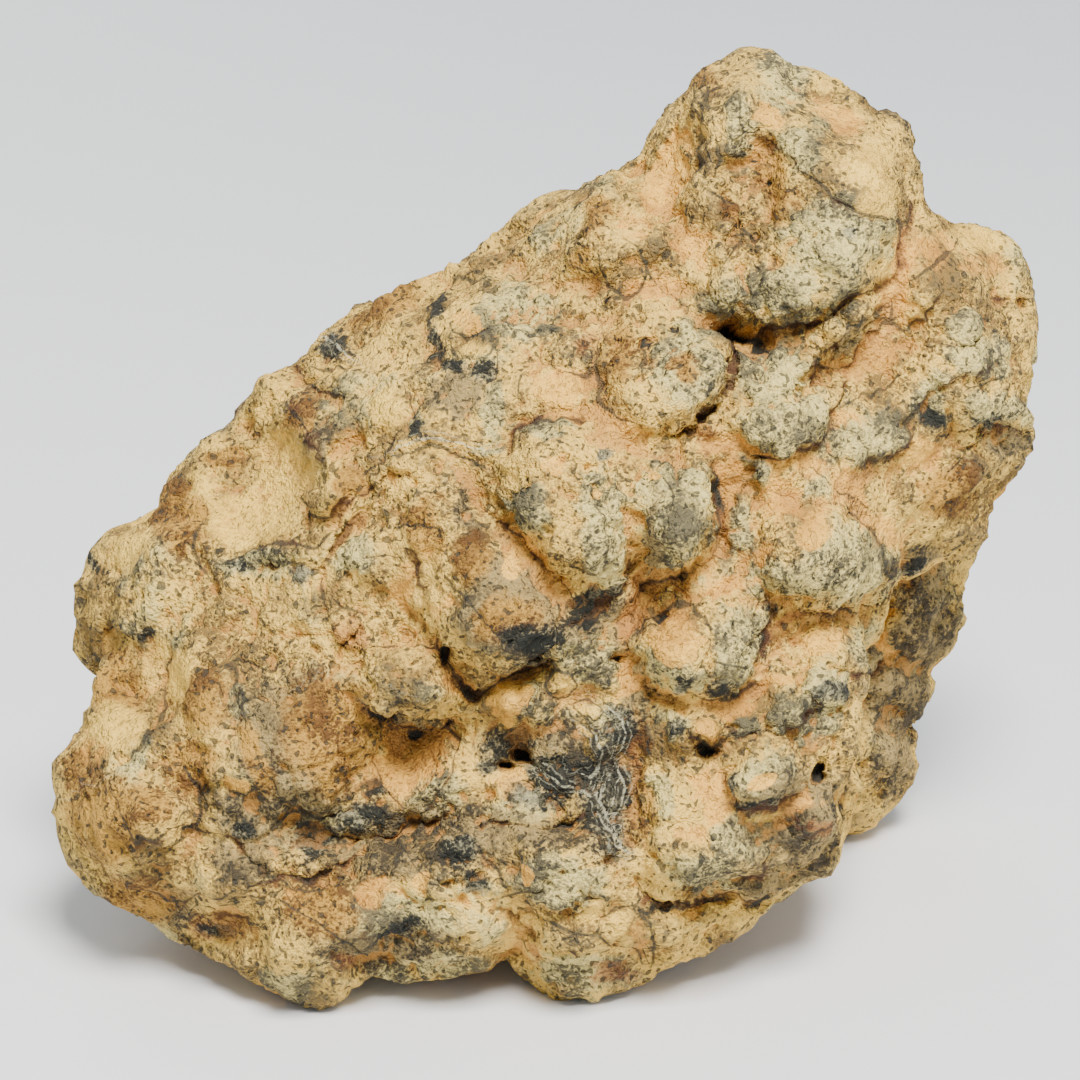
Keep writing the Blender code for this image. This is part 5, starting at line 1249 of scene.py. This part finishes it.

# What lies over the grounds, from the broadest to the darkest: the brown of hollows, partly dust
# and partly painted shade, pale streaks along the melt, dark threads and pores, cracks, painted
# shade in crevices, and near-black painted shade in holes and slits.
HOLLOW_EDGE = (0.7, 1.0)
STREAK_TURNS = 10.0
STREAK_WANDER = {"jag": 4.0}
STREAK_WAVE = 0.5
STREAK_FADE = 0.6
STREAK_GRIT = {"jag": 0.4}
STREAK_EDGE = (0.3, 1.0)
PORE_EDGE = (0.67, 0.73)
WIDE_PORE_EDGE = (0.74, 0.78)
SMOOTH_CLEAN = 0.75
THREAD_LOOKS = {"thread": (0.05, {"jag": 1.1}, 0.06), "thread_small": (0.06, {"jag": 1.3}, 0.07)}
CRACK_WIDTH = 0.14
CRACK_CLOUDS = {"broad": 0.5}
CRACK_GRIT = {"speck": 0.25}
CRACK_EDGE = (-0.04, 0.1)
CREVICE_SHADE_GRIT = {"speck": 0.6, "jag": 0.8}
CREVICE_SHADE_EDGE = (0.38, 1.05)
HOLE_GRIT = {"speck": 0.3}
HOLE_EDGE = (0.62, 0.95)
# The bump's share of each noise and of the pores.
BUMP_MIDDLING = 0.9
BUMP_FINE = 0.35
BUMP_PORES = 0.2

clean = 1.0 - smooth * SMOOTH_CLEAN
streak_distance = abs(trait("streak_side"))
streak_wave = blend(streak_distance * STREAK_TURNS, STREAK_WANDER).cosine() * STREAK_WAVE
streak = blend(streak_wave + STREAK_WAVE - streak_distance * STREAK_FADE, STREAK_GRIT)
threads = [
    (width - abs(blend(trait(name), wander))).ramp(0.0, edge)
    for name, (width, wander, edge) in THREAD_LOOKS.items()
]
pores = grain(*PORE_GRAIN).ramp(*PORE_EDGE)
pores = pores.most(grain(*WIDE_PORE_GRAIN).ramp(*WIDE_PORE_EDGE))
crack_distance = blend(abs(trait("line_side")), CRACK_GRIT)
crack = (blend(CRACK_WIDTH, CRACK_CLOUDS) - crack_distance).ramp(*CRACK_EDGE)
crevice_shade = blend(trait("crevice"), CREVICE_SHADE_GRIT).ramp(*CREVICE_SHADE_EDGE)
overlays = (
    # Dust and painted shade in the deepest hollows.
    (HOLLOW_DUST_AND_SHADE, trait("hollow").ramp(*HOLLOW_EDGE), 0.5),
    (MILK, streak.ramp(*STREAK_EDGE), 0.45),
    (PEPPER, threads[0].most(threads[1]) * trait("veined") * clean, 0.25),
    (PEPPER, pores * clean, 0.8),
    (PEPPER, crack, 0.8),
    # Painted shade in crevices on the front and in hollows and seams off it.
    (CREVICE_SHADE_TONE, crevice_shade, 0.85),
    # Near-black painted shade in holes, deep slits and burrows.
    (PEPPER, blend(trait("hole"), HOLE_GRIT).ramp(*HOLE_EDGE), 1.0),
)
for colour, cover, strength in overlays:
    tone = tone.toward(colour, cover * strength)

height = middling * BUMP_MIDDLING + fine * BUMP_FINE - pores * BUMP_PORES
rough_skin = flow.node("ShaderNodeBump", {}, {"Strength": 1.0, "Distance": MM, "Height": height})
shader = flow.node(
    "ShaderNodeBsdfPrincipled",
    {},
    {"Base Color": tone, "Normal": rough_skin, "Roughness": ROUGHNESS, "Specular IOR Level": GLOSS},
)
flow.node("ShaderNodeOutputMaterial", {}, {"Surface": shader}, None)
stone_mesh.materials.append(material)

stone = bpy.data.objects.new("stone_skin", stone_mesh)
bpy.context.scene.collection.objects.link(stone)
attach(stone, "root")
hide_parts("meteorite")


# The table: a plain pale top under the stone, matt and a little grey. It is one flat square, wide
# enough to fill the view.
TABLE_HALF = 2.0
TABLE_CORNERS = ((-1, -1), (1, -1), (1, 1), (-1, 1))
TABLE_TONE = (0.80, 0.80, 0.81, 1.0)
TABLE_ROUGHNESS = 0.6

table_corners = [(TABLE_HALF * x, TABLE_HALF * y, 0.0) for x, y in TABLE_CORNERS]
table_mesh = bpy.data.meshes.new("table")
table_mesh.from_pydata(table_corners, [], [range(len(table_corners))])
table_finish = bpy.data.materials.new("table")
table_finish.use_nodes = True
table_shader = table_finish.node_tree.nodes["Principled BSDF"]
table_shader.inputs["Base Color"].default_value = TABLE_TONE
table_shader.inputs["Roughness"].default_value = TABLE_ROUGHNESS
table_mesh.materials.append(table_finish)
table = bpy.data.objects.new("table", table_mesh)
bpy.context.scene.collection.objects.link(table)


# Studio light: a soft lamp above the front, weaker ones at the right and behind at the left, and
# a pale room that is a little blue. Each lamp has a place, a size and a power.
LAMPS = {
    "above": ((0.10, -0.39, 0.73), 0.28, 17.0),
    "right": ((0.80, -0.50, 0.35), 0.5, 2.4),
    "behind": ((-0.35, 0.80, 0.42), 0.5, 3.5),
}
LAMP_TONE = (1.0, 0.97, 0.93)
LAMP_TARGET = Vector((0.0, 0.0, 0.035))
ROOM_TONE = (0.66, 0.84, 1.0, 1.0)
ROOM_STRENGTH = 0.52

for name, (lamp_place, size, power) in LAMPS.items():
    lamp = bpy.data.lights.new(name, "AREA")
    lamp.size = size
    lamp.energy = power
    lamp.color = LAMP_TONE
    holder = bpy.data.objects.new(name, lamp)
    holder.location = lamp_place
    holder.rotation_euler = (LAMP_TARGET - holder.location).to_track_quat("-Z", "Y").to_euler()
    bpy.context.scene.collection.objects.link(holder)
room = bpy.data.worlds.new("room")
room.use_nodes = True
room.node_tree.nodes["Background"].inputs["Color"].default_value = ROOM_TONE
room.node_tree.nodes["Background"].inputs["Strength"].default_value = ROOM_STRENGTH
bpy.context.scene.world = room
